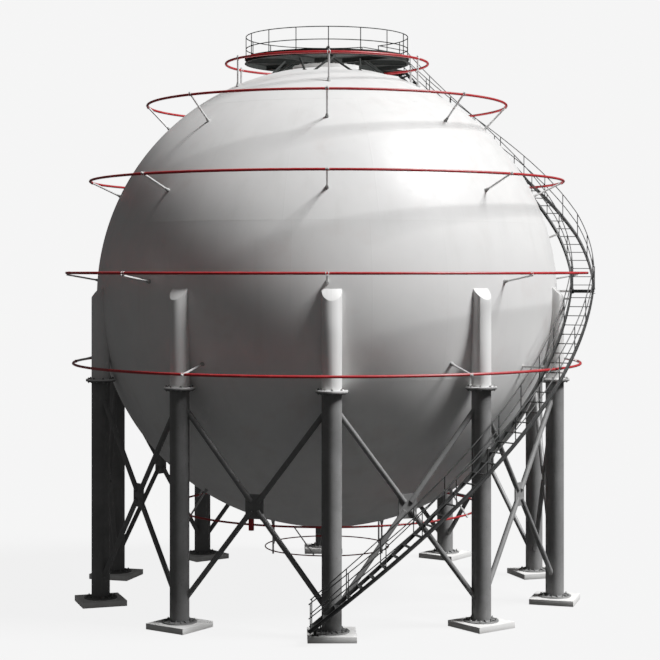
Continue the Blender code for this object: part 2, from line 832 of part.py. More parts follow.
def handrail(line, middle, post_points):
    """A handrail: a top rail and a middle rail along a line, and posts down to the stringer."""
    pieces = []
    for lift in (RAIL_OVER_STRINGER, middle):
        points = [point + Vector((0, 0, lift)) for point in line]
        pieces.append(sweep("rail", points, radius=RAIL_RADIUS))
    for point in post_points:
        top = point + Vector((0, 0, RAIL_OVER_STRINGER))
        pieces.append(rod("post", point, top, POST_RADIUS, 4))
    return join(pieces[0], pieces[1:])


def make_handrails():
    """The handrails on both sides of the stair."""
    for side, offset in (("inner", -HALF_WIDTH), ("outer", HALF_WIDTH)):
        lower = beside(lower_path, shares(STRINGER_STEPS, *LOWER_RAIL_SPAN), offset)
        posts = beside(lower_path, shares(LOWER_POSTS, *LOWER_POST_SPAN), offset)
        rail = handrail(lower, LOWER_MID_RAIL, posts)
        rail = cut(rail, [stringer(lower_path, LOWER_SPAN, STRINGER_STEPS, offset, GAP)])
        add_part(f"handrail_lower_{side}", smooth(rail), STAIR_STEEL)

        landing = beside(landing_path, shares(LANDING_STEPS - 1, *LANDING_RAIL_SPAN), offset)
        upper = beside(upper_path, shares(STRINGER_STEPS, *UPPER_RAIL_SPAN), offset)
        gap_edge = GUARD_GAP_END if side == "outer" else GUARD_GAP_START
        end = on_plan(PLATFORM_RADIUS + POST_RADIUS, gap_edge, STAIR_TOP_HEIGHT)
        posts = [landing[0]] + beside(landing_path, [LANDING_POST], offset)
        posts += beside(upper_path, shares(UPPER_POSTS, *UPPER_POST_SPAN), offset)
        rail = handrail(landing + upper + [end], UPPER_MID_RAIL, posts)
        cutters = [
            landing_edge(offset, GAP),
            stringer(upper_path, UPPER_SPAN, STRINGER_STEPS, offset, GAP),
            bridge_cutter(),
        ]
        rail = cut(rail, cutters)
        add_part(f"handrail_upper_{side}", smooth(rail), STAIR_STEEL)


def make_platform():
    """The deck, the frame with its struts, and the guard rail."""
    top = SHELL_CENTRE + DECK_TOP
    bottom = top - DECK_THICKNESS
    profile = (
        (VENT_HOLE_RADIUS, bottom),
        (VENT_HOLE_RADIUS, top),
        (PLATFORM_RADIUS, top),
        (PLATFORM_RADIUS, bottom),
        (VENT_HOLE_RADIUS, bottom),
    )
    add_part("platform_deck", smooth(turned("platform_deck", profile, PLATFORM_SIDES)), PLATFORM_STEEL)
    add_part("platform_frame", smooth(frame_mesh(), 30), PLATFORM_STEEL)
    add_part("platform_guard_rail", smooth(guard_mesh()), PLATFORM_STEEL)


def hoop(name, inner, outer, low, high, sides):
    """A flat-sided ring."""
    profile = ((inner, low), (inner, high), (outer, high), (outer, low), (inner, low))
    return turned(name, profile, sides)


def frame_mesh():
    """Two hoops, the beams between them and the leaning struts down to the shell."""
    low = SHELL_CENTRE + FRAME_BOTTOM
    high = SHELL_CENTRE + FRAME_TOP
    rim = hoop("rim", PLATFORM_RADIUS - FRAME_WIDTH, PLATFORM_RADIUS, low, high, PLATFORM_SIDES)
    hub_rim = FRAME_INNER_RADIUS + FRAME_WIDTH
    pieces = [hoop("hub", FRAME_INNER_RADIUS, hub_rim, low, high, HUB_SIDES)]
    depth = high - low
    for number in range(FRAME_BEAMS):
        azimuth = FRAME_FIRST_BEAM + 360 * number / FRAME_BEAMS
        start = FRAME_INNER_RADIUS + FRAME_WIDTH / 2
        end = PLATFORM_RADIUS - FRAME_WIDTH / 2
        middle = on_plan((start + end) / 2, azimuth, (low + high) / 2)
        size = (FRAME_WIDTH, end - start, depth * BEAM_DEPTH_SHARE)
        pieces.append(box("beam", size, Matrix.Translation(middle) @ turned_to(azimuth)))
        for side in (-1, 1):
            foot = on_plan(STRUT_FOOT_RADIUS, azimuth + side * STRUT_SPREAD, 0)
            foot.z = SHELL_CENTRE + math.sqrt(SHELL_RADIUS**2 - STRUT_FOOT_RADIUS**2) - ROOT_DEPTH
            head_azimuth = azimuth + side * STRUT_HEAD_SPREAD
            head = on_plan(STRUT_TOP_RADIUS, head_azimuth, low + depth * STRUT_HEAD_RISE)
            pieces.append(rod("strut", foot, head, STRUT_RADIUS, 5))
    return cut(join(rim, pieces), [shell_cutter()])


def guard_mesh():
    """The guard rail round the deck, open where the bridge arrives."""
    radius = PLATFORM_RADIUS - GUARD_INSET
    turn = shares(GUARD_POINTS, GUARD_GAP_END, GUARD_GAP_START + 360)
    pieces = []
    for level in (GUARD_TOP, GUARD_MIDDLE):
        points = [on_plan(radius, azimuth, SHELL_CENTRE + level) for azimuth in turn]
        pieces.append(sweep("guard", points, radius=RAIL_RADIUS))
    regular = [GUARD_POST_STEP * number for number in range(round(360 / GUARD_POST_STEP))]
    first = GUARD_GAP_START - GUARD_CLEAR_OF_GAP
    last = GUARD_GAP_END + GUARD_CLEAR_OF_GAP
    spots = [spot for spot in regular if not first < spot < last]
    spots += [GUARD_GAP_START - GUARD_END_POST_INSET, GUARD_GAP_END + GUARD_END_POST_INSET]
    for azimuth in spots:
        low = on_plan(radius, azimuth, SHELL_CENTRE + DECK_TOP + GAP)
        high = on_plan(radius, azimuth, SHELL_CENTRE + GUARD_TOP)
        pieces.append(rod("post", low, high, POST_RADIUS, 5))
    return join(pieces[0], pieces[1:])


def make_vent():
    """The low drum on top of the shell, with the vent pipe through the deck."""
    top = SHELL_CENTRE + VENT_TOP
    drum_top = SHELL_CENTRE + DRUM_TOP
    low = SHELL_CENTRE + math.sqrt(SHELL_RADIUS**2 - DRUM_RADIUS**2) - ROOT_DEPTH
    profile = (
        (0, top),
        (VENT_FLANGE_RADIUS, top),
        (VENT_FLANGE_RADIUS, top - VENT_FLANGE_THICKNESS),
        (VENT_RADIUS, top - VENT_FLANGE_THICKNESS),
        (VENT_RADIUS, drum_top),
        (DRUM_RADIUS, drum_top),
        (DRUM_RADIUS, low),
        (0, low),
    )
    drum = cut(turned("top_drum_and_vent", profile, DRUM_SIDES), [shell_cutter()])
    add_part("top_drum_and_vent", smooth(drum), SHELL_PAINT)


make_shell()
make_columns()
make_rings()
make_lower_flight()
make_landing()
make_upper_flight()
make_bridge()
make_handrails()
make_platform()
make_vent()
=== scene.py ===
"""The looks of a spherical gas tank: detailed pieces, procedural finishes, studio light and camera.

Metres, +Z up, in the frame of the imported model. Azimuths run from -Y, the front, towards +X.
"""

import math

import bmesh
import bpy
from mathutils import Matrix, Vector


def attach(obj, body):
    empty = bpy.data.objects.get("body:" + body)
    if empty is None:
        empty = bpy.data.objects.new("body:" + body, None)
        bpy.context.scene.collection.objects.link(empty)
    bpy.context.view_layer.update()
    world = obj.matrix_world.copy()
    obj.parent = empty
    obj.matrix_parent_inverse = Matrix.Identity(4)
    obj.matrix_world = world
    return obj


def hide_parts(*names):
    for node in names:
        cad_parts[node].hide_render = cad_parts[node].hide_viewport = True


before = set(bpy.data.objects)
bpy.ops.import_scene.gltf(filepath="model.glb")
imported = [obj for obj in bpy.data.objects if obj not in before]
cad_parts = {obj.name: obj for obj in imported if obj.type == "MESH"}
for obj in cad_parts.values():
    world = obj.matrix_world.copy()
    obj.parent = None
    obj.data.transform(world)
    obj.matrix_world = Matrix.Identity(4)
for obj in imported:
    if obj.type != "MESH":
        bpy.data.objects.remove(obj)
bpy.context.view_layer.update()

# Shell, as in the CAD part
SHELL_RADIUS = 7.85
SHELL_WALL = 0.045
SHELL_CENTRE = 10.06
BELT_EDGES = {
    "top_crown": (54, 90),
    "upper_belt": (18, 54),
    "equator_belt": (-18, 18),
    "lower_belt": (-54, -18),
    "bottom_crown": (-90, -54),
}
BELT_PLATES = {"top_crown": 8, "upper_belt": 16, "equator_belt": 20, "lower_belt": 16, "bottom_crown": 8}
SHELL_SIDES = 180
SHELL_ROW_STEP = 1.5
POLE_RADIUS = 0.001
SEAM_BEAD = 0.002
SEAM_REACH = 0.035
WELD_BEAD = 0.003

# Columns, footings and braces, as in the CAD part
COLUMN_COUNT = 10
COLUMN_CIRCLE = 7.875
COLUMN_RADIUS = 0.304
FOOTING_SIDE = 1.465
FOOTING_HEIGHT = 0.194
BASE_PLATE_RADIUS = 0.54
BASE_PLATE_THICKNESS = 0.04
FLANGE_RADIUS = 0.486
FLANGE_THICKNESS = 0.04
FLANGE_HEIGHT = 7.354
STUB_CAP_OUTER_HEIGHT = SHELL_CENTRE
STUB_CAP_INNER_HEIGHT = SHELL_CENTRE + 0.34
BRACE_RADIUS = 0.085
BRACE_TOP = 6.99
BRACE_BOTTOM = 0.66
GUSSET_WIDTH = 0.58
GUSSET_HEIGHT = 0.75
GUSSET_THICKNESS = 0.05
GUSSET_LAP = 0.16

# Their details
EDGE = 0.006
BOLT_COUNT = 8
FLANGE_BOLT_CIRCLE = 0.4
BASE_BOLT_CIRCLE = 0.455
BOLT_RADIUS = 0.018
NUT_RADIUS = 0.036
NUT_HEIGHT = 0.032
NUT_BEVEL = 0.00432
WASHER_RADIUS = 0.045
STUD_END = 0.02
BASE_STUD_END = 0.03
RIB_THICKNESS = 0.014
FLANGE_RIB_HEIGHT = 0.06
BASE_RIB_HEIGHT = 0.06
GUSSET_CORNER = 0.09
BRACE_END_SHARE = 0.8
BRACE_WELD_BACK = 0.06
FOOTING_BEVEL = 0.02

# Pipe rings, as in the CAD part: plan radius, height over the centre, count and first azimuth of the rods,
# and whether the rods are upright
RING_PIPE_RADIUS = 0.045
THIN_RINGS = {"spray_ring_under": 0.036, "drain_ring": 0.024}
ROD_RADIUS = 0.033
ROD_PAST_RING = 0.1
RINGS = {
    "spray_ring_top": (3.467, 7.980, 6, 0, True),
    "spray_ring_shoulder": (6.143, 6.505, 8, -1, False),
    "spray_ring_upper": (8.072, 3.905, 8, -1, False),
    "spray_ring_equator": (8.865, 0.815, 8, -1, False),
    "spray_ring_lower": (8.639, -2.226, 6, 29, False),
    "spray_ring_under": (5.231, -7.153, 6, 0, False),
    "drain_ring": (2.120, -8.572, 6, 0, True),
}
MOVED_RODS = {("spray_ring_equator", 89): 98, ("spray_ring_shoulder", 134): 141}
INLET_AZIMUTH = -28.3
INLET_RADIUS = 0.09
INLET_BELOW = 0.19
INLET_ABOVE = 0.28
LINK_AZIMUTH = -12.5

# Their details, and how far rods are set below the CAD part's, at the foot and at the ring
ROD_DROPS = {"spray_ring_equator": (0.19, 0.078)}
FOOT_DEPTH = 0.02
FOOT_LENGTH = 0.15
FOOT_RADIUS = 0.07
FOOT_SHOULDER_RADIUS = 0.063
FOOT_TIP_RADIUS = 0.03465
CLAMP_RADIUS = 0.012

# Stair, as in the CAD part
STAIR_RADIUS = 8.742
STAIR_WIDTH = 0.715
STRINGER_THICKNESS = 0.06
STRINGER_DEPTH = 0.115
LANDING_EDGE_DEPTH = 0.16
TREAD_DEPTH = 0.13
TREAD_THICKNESS = 0.03
STAIR_FOOT_AZIMUTH = -4.4
STAIR_FOOT_HEIGHT = 0.42
LANDING_START = 73.9
LANDING_END = 84.2
LANDING_HEIGHT = SHELL_CENTRE + 0.203
LOWER_TREADS = 34
LOWER_FIRST_TREAD = 0.3
UPPER_TREADS = 28
UPPER_FIRST_TREAD = 0.7
SHOULDER_RADIUS = 8.87
TANGENT_HEIGHT = 5.652
STAIR_TOP_AZIMUTH = 143.6
STAIR_TOP_UNDER_DECK = 0.09
BRIDGE_DEPTH = 0.12
LEG_SHARE = 0.012
LEG_SIDE = 0.08
LEG_PLATE_SIDE = 0.2
LEG_PLATE_THICKNESS = 0.02
BRACKET_SIDE = 0.07
SHELL_BRACKET_AZIMUTH = 55
LANDING_END_BARS = (0.03, 0.97)
LANDING_END_BAR = 0.1
LANDING_BRACKETS = (0.25, 0.75)
UPPER_BRACKETS = (0.25, 0.5, 0.75, 0.97)

# Its details
PATH_STEPS = 61
PATH_NUDGE = 0.002
UPPER_EASING_SHARE = 0.25
STEEL = 0.01
GRATE_BAR = 0.007
GRATE_BAR_DEPTH = 0.024
TREAD_BARS = 5
TREAD_CROSS_BARS = 8
LANDING_BARS = 25
LANDING_CROSS_BARS = 20
LANDING_CROSS_SPAN = (0.01, 0.99)
LANDING_STEPS = 9
RIM_STEPS = 9

# Handrails and guard rail, on the lines of the CAD part's but as thin as in the photograph
RAIL_RADIUS = 0.019
POST_RADIUS = 0.018
POST_FOOT_RADIUS = 0.03
RAIL_OVER_STRINGER = 0.817
LOWER_MID_RAIL = 0.4
UPPER_MID_RAIL = 0.455
LOWER_RAIL_SPAN = (0.0, 0.992)
LANDING_RAIL_SPAN = (0.03, 0.95)
LANDING_POSTS = (0.03, 0.5)
UPPER_RAIL_SPAN = (0.02, 1.0)
LOWER_POSTS = 12
LOWER_POST_SPAN = (0.004, 0.985)
UPPER_POSTS = 11
UPPER_POST_SPAN = (0.05, 0.98)

# Top platform, as in the CAD part, heights over the centre
PLATFORM_RADIUS = 2.83
DECK_TOP = 8.184
DECK_THICKNESS = 0.05
FRAME_BOTTOM = 7.987
FRAME_WIDTH = 0.08
FRAME_INNER_RADIUS = 0.6
FRAME_BEAMS = 8
FRAME_FIRST_BEAM = 5.0
RIM_LIP = 0.06
STRUT_RADIUS = 0.04
STRUT_PAD_RADIUS = 0.08
STRUT_SPREAD = 16.9
STRUT_HEAD_SPREAD = 0.6
STRUT_TOP_RADIUS = 1.45
STRUT_FOOT_RADIUS = 1.98
GUARD_TOP = 8.903
GUARD_MIDDLE = 8.487
GUARD_GAP_START = 138.0
GUARD_GAP_END = 151.5
GUARD_POST_STEP = 22.5
GUARD_END_POST_INSET = 0.4
GUARD_CLEAR_OF_GAP = 10
GUARD_INSET = 0.05
VENT_RADIUS = 0.055
VENT_TOP = 8.66
VENT_BEND = 0.11
VENT_BEND_ANGLE = 1.3
VENT_BEND_STEPS = 13
VENT_RIM_RADIUS = 0.088
VENT_RIM_THICKNESS = 0.025
VENT_HOLE_RADIUS = 0.16
DRUM_RADIUS = 1.18
DRUM_TOP = 7.885

# Sides of round forms, and the angle over which an edge stays sharp
BEAD_SIDES = 6
HEXAGON_SIDES = 6
STUD_SIDES = 10
RAIL_SIDES = 12
PIPE_SIDES = 16
PAD_SIDES = 20
BRACE_SIDES = 24
RIM_SIDES = 32
COLUMN_SIDES = 48
PLATFORM_SIDES = 96
SHARP_ANGLE = 35

# Finishes: each paint's tone, worn spots and dust, and each zinc's dark and light crystals
SEAM_TONES = ((0.76, 0.76, 0.75), (0.68, 0.66, 0.64), (0.7, 0.7, 0.68))
COLUMN_TONES = ((0.165, 0.165, 0.165), (0.1, 0.08, 0.07), (0.25, 0.25, 0.245))
RED_TONES = ((0.4, 0.018, 0.022), (0.16, 0.03, 0.03), (0.46, 0.1, 0.09))
FOOT_TONES = ((0.36, 0.365, 0.36), (0.36, 0.32, 0.28), (0.42, 0.42, 0.41))
STAIR_TONES = ((0.035, 0.036, 0.036), (0.12, 0.1, 0.09), (0.09, 0.09, 0.085))
# Platform steel is near-black paint; on the frame under the deck it is partly painted shade, standing in for
# the shadow that the deck doesn't cast.
PLATFORM_TONES = ((0.016, 0.018, 0.017), (0.08, 0.07, 0.06), (0.05, 0.054, 0.05))
BRACKET_TONES = ((0.6, 0.6, 0.59), (0.4, 0.34, 0.3), (0.5, 0.5, 0.48))
VENT_TONES = ((0.72, 0.72, 0.7), (0.4, 0.3, 0.25), (0.6, 0.6, 0.58))
ROD_TONES = ((0.6, 0.6, 0.6), (0.74, 0.74, 0.73))
TREAD_TONES = ((0.05, 0.052, 0.052), (0.1, 0.1, 0.1))
BOLT_TONES = ((0.2, 0.2, 0.2), (0.36, 0.36, 0.35))
PALER = 1.25
SATIN = 0.5
DULL = 0.15

# Camera and light
CAMERA_PLACE = (-1.062, -58.49, 10.972)
CAMERA_TURN = -1.04
CAMERA_LENS = 92.70
CAMERA_SENSOR = 36
CAMERA_SHIFT = (0.0047, -0.0909)
KEY_AZIMUTH = 78
KEY_ELEVATION = 52
KEY_STRENGTH = 4.5
KEY_ANGLE = 18.0
AMBIENT = 0.044
STUDIO_RADIUS = 400
STUDIO_SIDES = 64
STUDIO_LEVEL = 0.895
FLOOR_DIFFUSE = 0.05
COMBINED_CURVE = 3
TONE_CURVE = ((0.1, 0.17), (0.3, 0.43), (0.5, 0.62), (0.8, 0.84))

# Values worked out from the ones above
UP = Vector((0, 0, 1))
CENTRE = Vector((0, 0, SHELL_CENTRE))
INNER_RADIUS = SHELL_RADIUS - SHELL_WALL
COLUMN_STEP = 360 / COLUMN_COUNT
COLUMN_PLACE = Vector((0, -COLUMN_CIRCLE, 0))
COLUMN_AXIS = Matrix.Translation(COLUMN_PLACE)
HALF_WIDTH = STAIR_WIDTH / 2
STAIR_TOP_HEIGHT = SHELL_CENTRE + DECK_TOP - STAIR_TOP_UNDER_DECK


def on_plan(radius, azimuth, height):
    """The point at a plan radius, an azimuth in degrees and a height over the ground."""
    angle = math.radians(azimuth)
    return Vector((radius * math.sin(angle), -radius * math.cos(angle), height))


def hoop(radius, height):
    """The points of a level circle round the tank's axis."""
    return [on_plan(radius, azimuth, height) for azimuth in shares(SHELL_SIDES + 1, 0, 360)[:-1]]


def shell_rise(plan_radius):
    """How far over its centre the shell's outer face is at a plan radius, or the other way round."""
    return math.sqrt(SHELL_RADIUS**2 - plan_radius**2)


def turned_to(azimuth):
    """The rotation about +Z that takes the front, -Y, to an azimuth."""
    return Matrix.Rotation(math.radians(azimuth), 4, "Z")


def shares(count, start=0.0, end=1.0):
    """Even steps from start to end."""
    return [start + (end - start) * number / (count - 1) for number in range(count)]


def circle(radius, sides):
    """(across, up) points of a round section."""
    angles = [2 * math.pi * number / sides for number in range(sides)]
    return [(radius * math.cos(angle), radius * math.sin(angle)) for angle in angles]


def loft(bm, rows, closed=False, caps=True):
    """Faces between rows of points. Closed joins the last row to the first."""
    made = [[bm.verts.new(point) for point in row] for row in rows]
    pairs = list(zip(made, made[1:]))
    if closed:
        pairs.append((made[-1], made[0]))
    for low, high in pairs:
        for number in range(len(low)):
            after = (number + 1) % len(low)
            bm.faces.new((low[number], low[after], high[after], high[number]))
    if caps and not closed:
        bm.faces.new(made[0][::-1])
        bm.faces.new(made[-1])


def sweep(bm, points, outline, closed=False, reference=UP):
    """A bar with an outline of (across, up) points, along a line."""
    rows = []
    last = len(points) - 1
    for number, point in enumerate(points):
        before = points[number - 1] if number or closed else point
        after = points[(number + 1) % len(points)] if number < last or closed else point
        along = (after - before).normalized()
        side = along.cross(reference).normalized()
        lift = side.cross(along)
        rows.append([point + side * x + lift * y for x, y in outline])
    loft(bm, rows, closed)


def tube(bm, points, radius, sides=RAIL_SIDES, closed=False, reference=UP):
    """A round bar along a line."""
    sweep(bm, points, circle(radius, sides), closed, reference)


def standing(place, direction):
    """The matrix that puts +Z along a direction, at a place."""
    return Matrix.Translation(place) @ direction.to_track_quat("Z", "X").to_matrix().to_4x4()


def turned(bm, profile, matrix=Matrix(), sides=COLUMN_SIDES, closed=False):
    """A solid turned about the matrix's Z from (radius, height) points."""
    rows = []
    for radius, height in profile:
        rows.append([matrix @ Vector((x, y, height)) for x, y in circle(radius, sides)])
    loft(bm, rows, closed)


def straight(bm, start, end, radius, sides=PIPE_SIDES, edge=0.0):
    """A straight round bar with slightly rounded ends."""
    length = (end - start).length
    profile = [(radius, 0), (radius, length)]
    if edge:
        profile = [(radius - edge, 0), (radius, edge), (radius, length - edge), (radius - edge, length)]
    turned(bm, profile, standing(start, end - start), sides)


def block(bm, matrix, size, bevel=0.0):
    """A box with its middle at the matrix and, if asked, rounded edges."""
    made = bmesh.ops.create_cube(bm, size=1, matrix=matrix @ Matrix.Diagonal((*size, 1)))
    if bevel:
        edges = list({edge for vert in made["verts"] for edge in vert.link_edges})
        bmesh.ops.bevel(bm, geom=edges, offset=bevel, segments=2, profile=0.6, affect="EDGES")


def prism(bm, outline, thickness):
    """A flat plate from the points of its outline, thickened both ways."""
    normal = (outline[1] - outline[0]).cross(outline[2] - outline[0]).normalized() * thickness / 2
    loft(bm, [[point - normal for point in outline], [point + normal for point in outline]])


def nut(bm, place, direction, stud=STUD_END):
    """A washer, a hexagon nut and the end of its stud."""
    matrix = standing(place, direction)
    low = STEEL / 2
    high = low + NUT_HEIGHT
    turned(bm, [(WASHER_RADIUS, 0), (WASHER_RADIUS, low)], matrix, PIPE_SIDES)
    hexagon = [(NUT_RADIUS, low), (NUT_RADIUS, high - NUT_BEVEL), (NUT_RADIUS - NUT_BEVEL, high)]
    turned(bm, hexagon, matrix, HEXAGON_SIDES)
    turned(bm, [(BOLT_RADIUS, high), (BOLT_RADIUS, high + stud)], matrix, STUD_SIDES)


def finished(bm, name):
    """A mesh from a bmesh, with round faces smooth and sharp edges kept."""
    bmesh.ops.recalc_face_normals(bm, faces=bm.faces)
    mesh = bpy.data.meshes.new(name)
    bm.to_mesh(mesh)
    bm.free()
    mesh.shade_smooth()
    mesh.set_sharp_from_angle(angle=math.radians(SHARP_ANGLE))
    return mesh


def placed(name, data):
    """A new object in the scene."""
    made = bpy.data.objects.new(name, data)
    bpy.context.scene.collection.objects.link(made)
    return made


def add_piece(name, mesh, material, nodes):
    """A piece of the object, which rides on the tank's body and stands for the nodes."""
    mesh.materials.append(material)
    piece = placed(name, mesh)
    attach(piece, "root")
    if nodes:
        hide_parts(*nodes)
    return piece


def show(name, bm, material, slot, *nodes):
    """One piece from its bmesh."""
    return add_piece(name, finished(bm, name), material, nodes)


def show_copies(name, bm, material, node=""):
    """Ten copies of a piece of column 1 or bay 1, one for each column."""
    mesh = finished(bm, name)
    for number in range(COLUMN_COUNT):
        copy = mesh.copy()
        copy.transform(turned_to(COLUMN_STEP * number))
        nodes = [f"{node}_{number + 1:02d}"] if node else []
        add_piece(f"{name}_{number + 1:02d}", copy, material, nodes)


class Finish:
    """A procedural material under construction, in the coordinates of the model."""

    def __init__(self, name, metallic=0.0, gloss=SATIN):
        self.material = bpy.data.materials.new(name)
        self.material.use_nodes = True
        self.tree = self.material.node_tree
        self.shader = self.tree.nodes["Principled BSDF"]
        self.shader.inputs["Metallic"].default_value = metallic
        self.shader.inputs["Specular IOR Level"].default_value = gloss
        self.place = self.node("ShaderNodeTexCoord", {}).outputs["Object"]

    def node(self, kind, inputs, **settings):
        """A node with its settings, and its inputs as values or links."""
        made = self.tree.nodes.new(kind)
        for key, value in settings.items():
            setattr(made, key, value)
        for key, value in inputs.items():
            if isinstance(value, bpy.types.NodeSocket):
                self.tree.links.new(value, made.inputs[key])
            else:
                made.inputs[key].default_value = value
        return made

    def math(self, operation, first, second=0.0):
        """The result of a calculation."""
        return self.node("ShaderNodeMath", {0: first, 1: second}, operation=operation).outputs[0]

    def noise(self, scale, detail=3.0, stretch=(1, 1, 1)):
        """A noise pattern, from 0 to 1, squeezed along the axes."""
        place = self.node("ShaderNodeMapping", {"Vector": self.place, "Scale": stretch}).outputs[0]
        inputs = {"Vector": place, "Scale": scale, "Detail": detail, "Roughness": 0.6}
        return self.node("ShaderNodeTexNoise", inputs).outputs["Fac"]

    def step(self, value, low, high, start=0.0, end=1.0):
        """A value eased from start to end while another goes from low to high."""
        inputs = {"Value": value, "From Min": low, "From Max": high, "To Min": start, "To Max": end}
        made = self.node("ShaderNodeMapRange", inputs, interpolation_type="SMOOTHSTEP")
        return made.outputs["Result"]

    def blend(self, factor, first, second):
        """A colour between two, by a factor."""
        colours = [(*item, 1) if isinstance(item, tuple) else item for item in (first, second)]
        inputs = {0: factor, 6: colours[0], 7: colours[1]}
        return self.node("ShaderNodeMix", inputs, data_type="RGBA").outputs[2]

    def cover(self, colour, pattern, strength, over):
        """A colour with another one laid over it where a pattern shows."""
        return self.blend(self.math("MULTIPLY", pattern, strength), colour, over)

    def finish(self, colour, roughness, height, distance):
        """The material, with its colour, roughness and bump."""
        inputs = {"Height": height, "Distance": distance, "Strength": 1.0}
        bump = self.node("ShaderNodeBump", inputs).outputs["Normal"]
        self.tree.links.new(colour, self.shader.inputs["Base Color"])
        self.tree.links.new(roughness, self.shader.inputs["Roughness"])
        self.tree.links.new(bump, self.shader.inputs["Normal"])
        return self.material


def shell_finish(name, plates):
    """Light grey satin paint: soft mottling, rain streaks, faint reddish blotches that are partly rust and
    partly a painted reflection of the red pipe rings, and the seams between plates.
    """
    make = Finish(name)
    cloud = make.step(make.noise(0.35, 4), 0.35, 0.65)
    streak = make.step(make.noise(1.0, 4, (1.6, 1.6, 0.09)), 0.5, 0.75)
    # Faint reddish blotches: partly rust, partly a painted reflection of the red pipe rings.
    rust_and_ring_reflection = make.step(make.noise(0.55, 5), 0.56, 0.72)
    grain = make.noise(24, 3)
    colour = make.blend(cloud, (0.765, 0.765, 0.76), (0.815, 0.815, 0.805))
    colour = make.cover(colour, streak, 0.22, (0.6, 0.595, 0.57))
    colour = make.cover(colour, rust_and_ring_reflection, 0.12, (0.5, 0.32, 0.27))
    parts = make.node("ShaderNodeSeparateXYZ", {0: make.place}).outputs
    turn = make.math("ARCTAN2", parts["X"], parts["Y"])
    phase = make.math("FRACT", make.math("MULTIPLY", turn, plates / (2 * math.pi)))
    off_seam = make.math("ABSOLUTE", make.math("SUBTRACT", phase, 0.5))
    squares = [make.math("MULTIPLY", parts[axis], parts[axis]) for axis in "XY"]
    plan_radius = make.math("POWER", make.math("ADD", *squares), 0.5)
    metres = make.math("MULTIPLY", make.math("MULTIPLY", off_seam, plan_radius), 2 * math.pi / plates)
    seam = make.step(metres, 0.0, SEAM_REACH, 1.0, 0.0)
    colour = make.cover(colour, seam, 0.08, (0.62, 0.62, 0.61))
    roughness = make.step(make.noise(3, 4), 0.3, 0.7, 0.36, 0.5)
    height = make.math("ADD", make.math("MULTIPLY", grain, 0.1), make.math("MULTIPLY", seam, 0.12))
    return make.finish(colour, roughness, height, 0.008)


def paint_finish(name, tones, roughness, metallic=0.0, gloss=SATIN):
    """Worn paint on steel: patches of tone, streaks, chips and dust."""
    paint, worn, dust = tones
    make = Finish(name, metallic, gloss)
    patches = make.step(make.noise(1.4, 4), 0.35, 0.7)
    streaks = make.step(make.noise(7, 3, (1, 1, 0.08)), 0.48, 0.75)
    chips = make.step(make.noise(19, 5), 0.60, 0.68)
    grain = make.noise(140, 2)
    tone = make.blend(patches, paint, tuple(value * PALER for value in paint))
    tone = make.cover(tone, streaks, 0.3, dust)
    tone = make.cover(tone, chips, 0.5, worn)
    rough = make.step(make.noise(5, 4), 0.3, 0.7, roughness - 0.08, roughness + 0.1)
    height = make.math("SUBTRACT", make.math("MULTIPLY", grain, 0.3), make.math("MULTIPLY", chips, 0.5))
    return make.finish(tone, rough, height, 0.002)


def concrete_finish(name):
    """Cast concrete: cloudy tone, pores, faint board marks, and a darker tone towards the bottom."""
    make = Finish(name)
    cloud = make.step(make.noise(2.2, 5), 0.3, 0.7)
    speckle = make.noise(60, 4)
    cells = make.node("ShaderNodeTexVoronoi", {"Vector": make.place, "Scale": 26}).outputs[0]
    pores = make.step(cells, 0.05, 0.16, 1.0, 0.0)
    boards = make.step(make.noise(6, 2, (0.2, 0.2, 6)), 0.5, 0.7)
    height_over_ground = make.node("ShaderNodeSeparateXYZ", {0: make.place}).outputs["Z"]
    # The concrete gets darker towards the bottom of the footing.
    darker_towards_bottom = make.step(height_over_ground, 0.0, FOOTING_HEIGHT * 0.7, 0.45, 0.0)
    colour = make.blend(cloud, (0.78, 0.775, 0.76), (0.9, 0.895, 0.88))
    colour = make.cover(colour, speckle, 0.3, (0.6, 0.59, 0.58))
    colour = make.cover(colour, boards, 0.12, (0.55, 0.54, 0.53))
    colour = make.cover(colour, pores, 0.6, (0.25, 0.245, 0.24))
    colour = make.blend(darker_towards_bottom, colour, (0.5, 0.49, 0.475))
    roughness = make.step(speckle, 0.2, 0.8, 0.82, 0.95)
    height = make.math("SUBTRACT", make.math("MULTIPLY", speckle, 0.5), pores)
    return make.finish(colour, roughness, height, 0.006)


def zinc_finish(name, tones, roughness, metallic):
    """Galvanised steel: a spangle of small crystals and dull patches."""
    dark, light = tones
    make = Finish(name, metallic)
    crystals = make.node("ShaderNodeTexVoronoi", {"Vector": make.place, "Scale": 45}).outputs["Color"]
    spangle = make.node("ShaderNodeSeparateColor", {0: crystals}).outputs["Red"]
    patches = make.step(make.noise(4, 4), 0.35, 0.7)
    colour = make.blend(spangle, dark, light)
    colour = make.cover(colour, patches, 0.3, dark)
    rough = make.step(spangle, 0.0, 1.0, roughness - 0.06, roughness + 0.1)
    return make.finish(colour, rough, make.noise(90, 3), 0.0015)


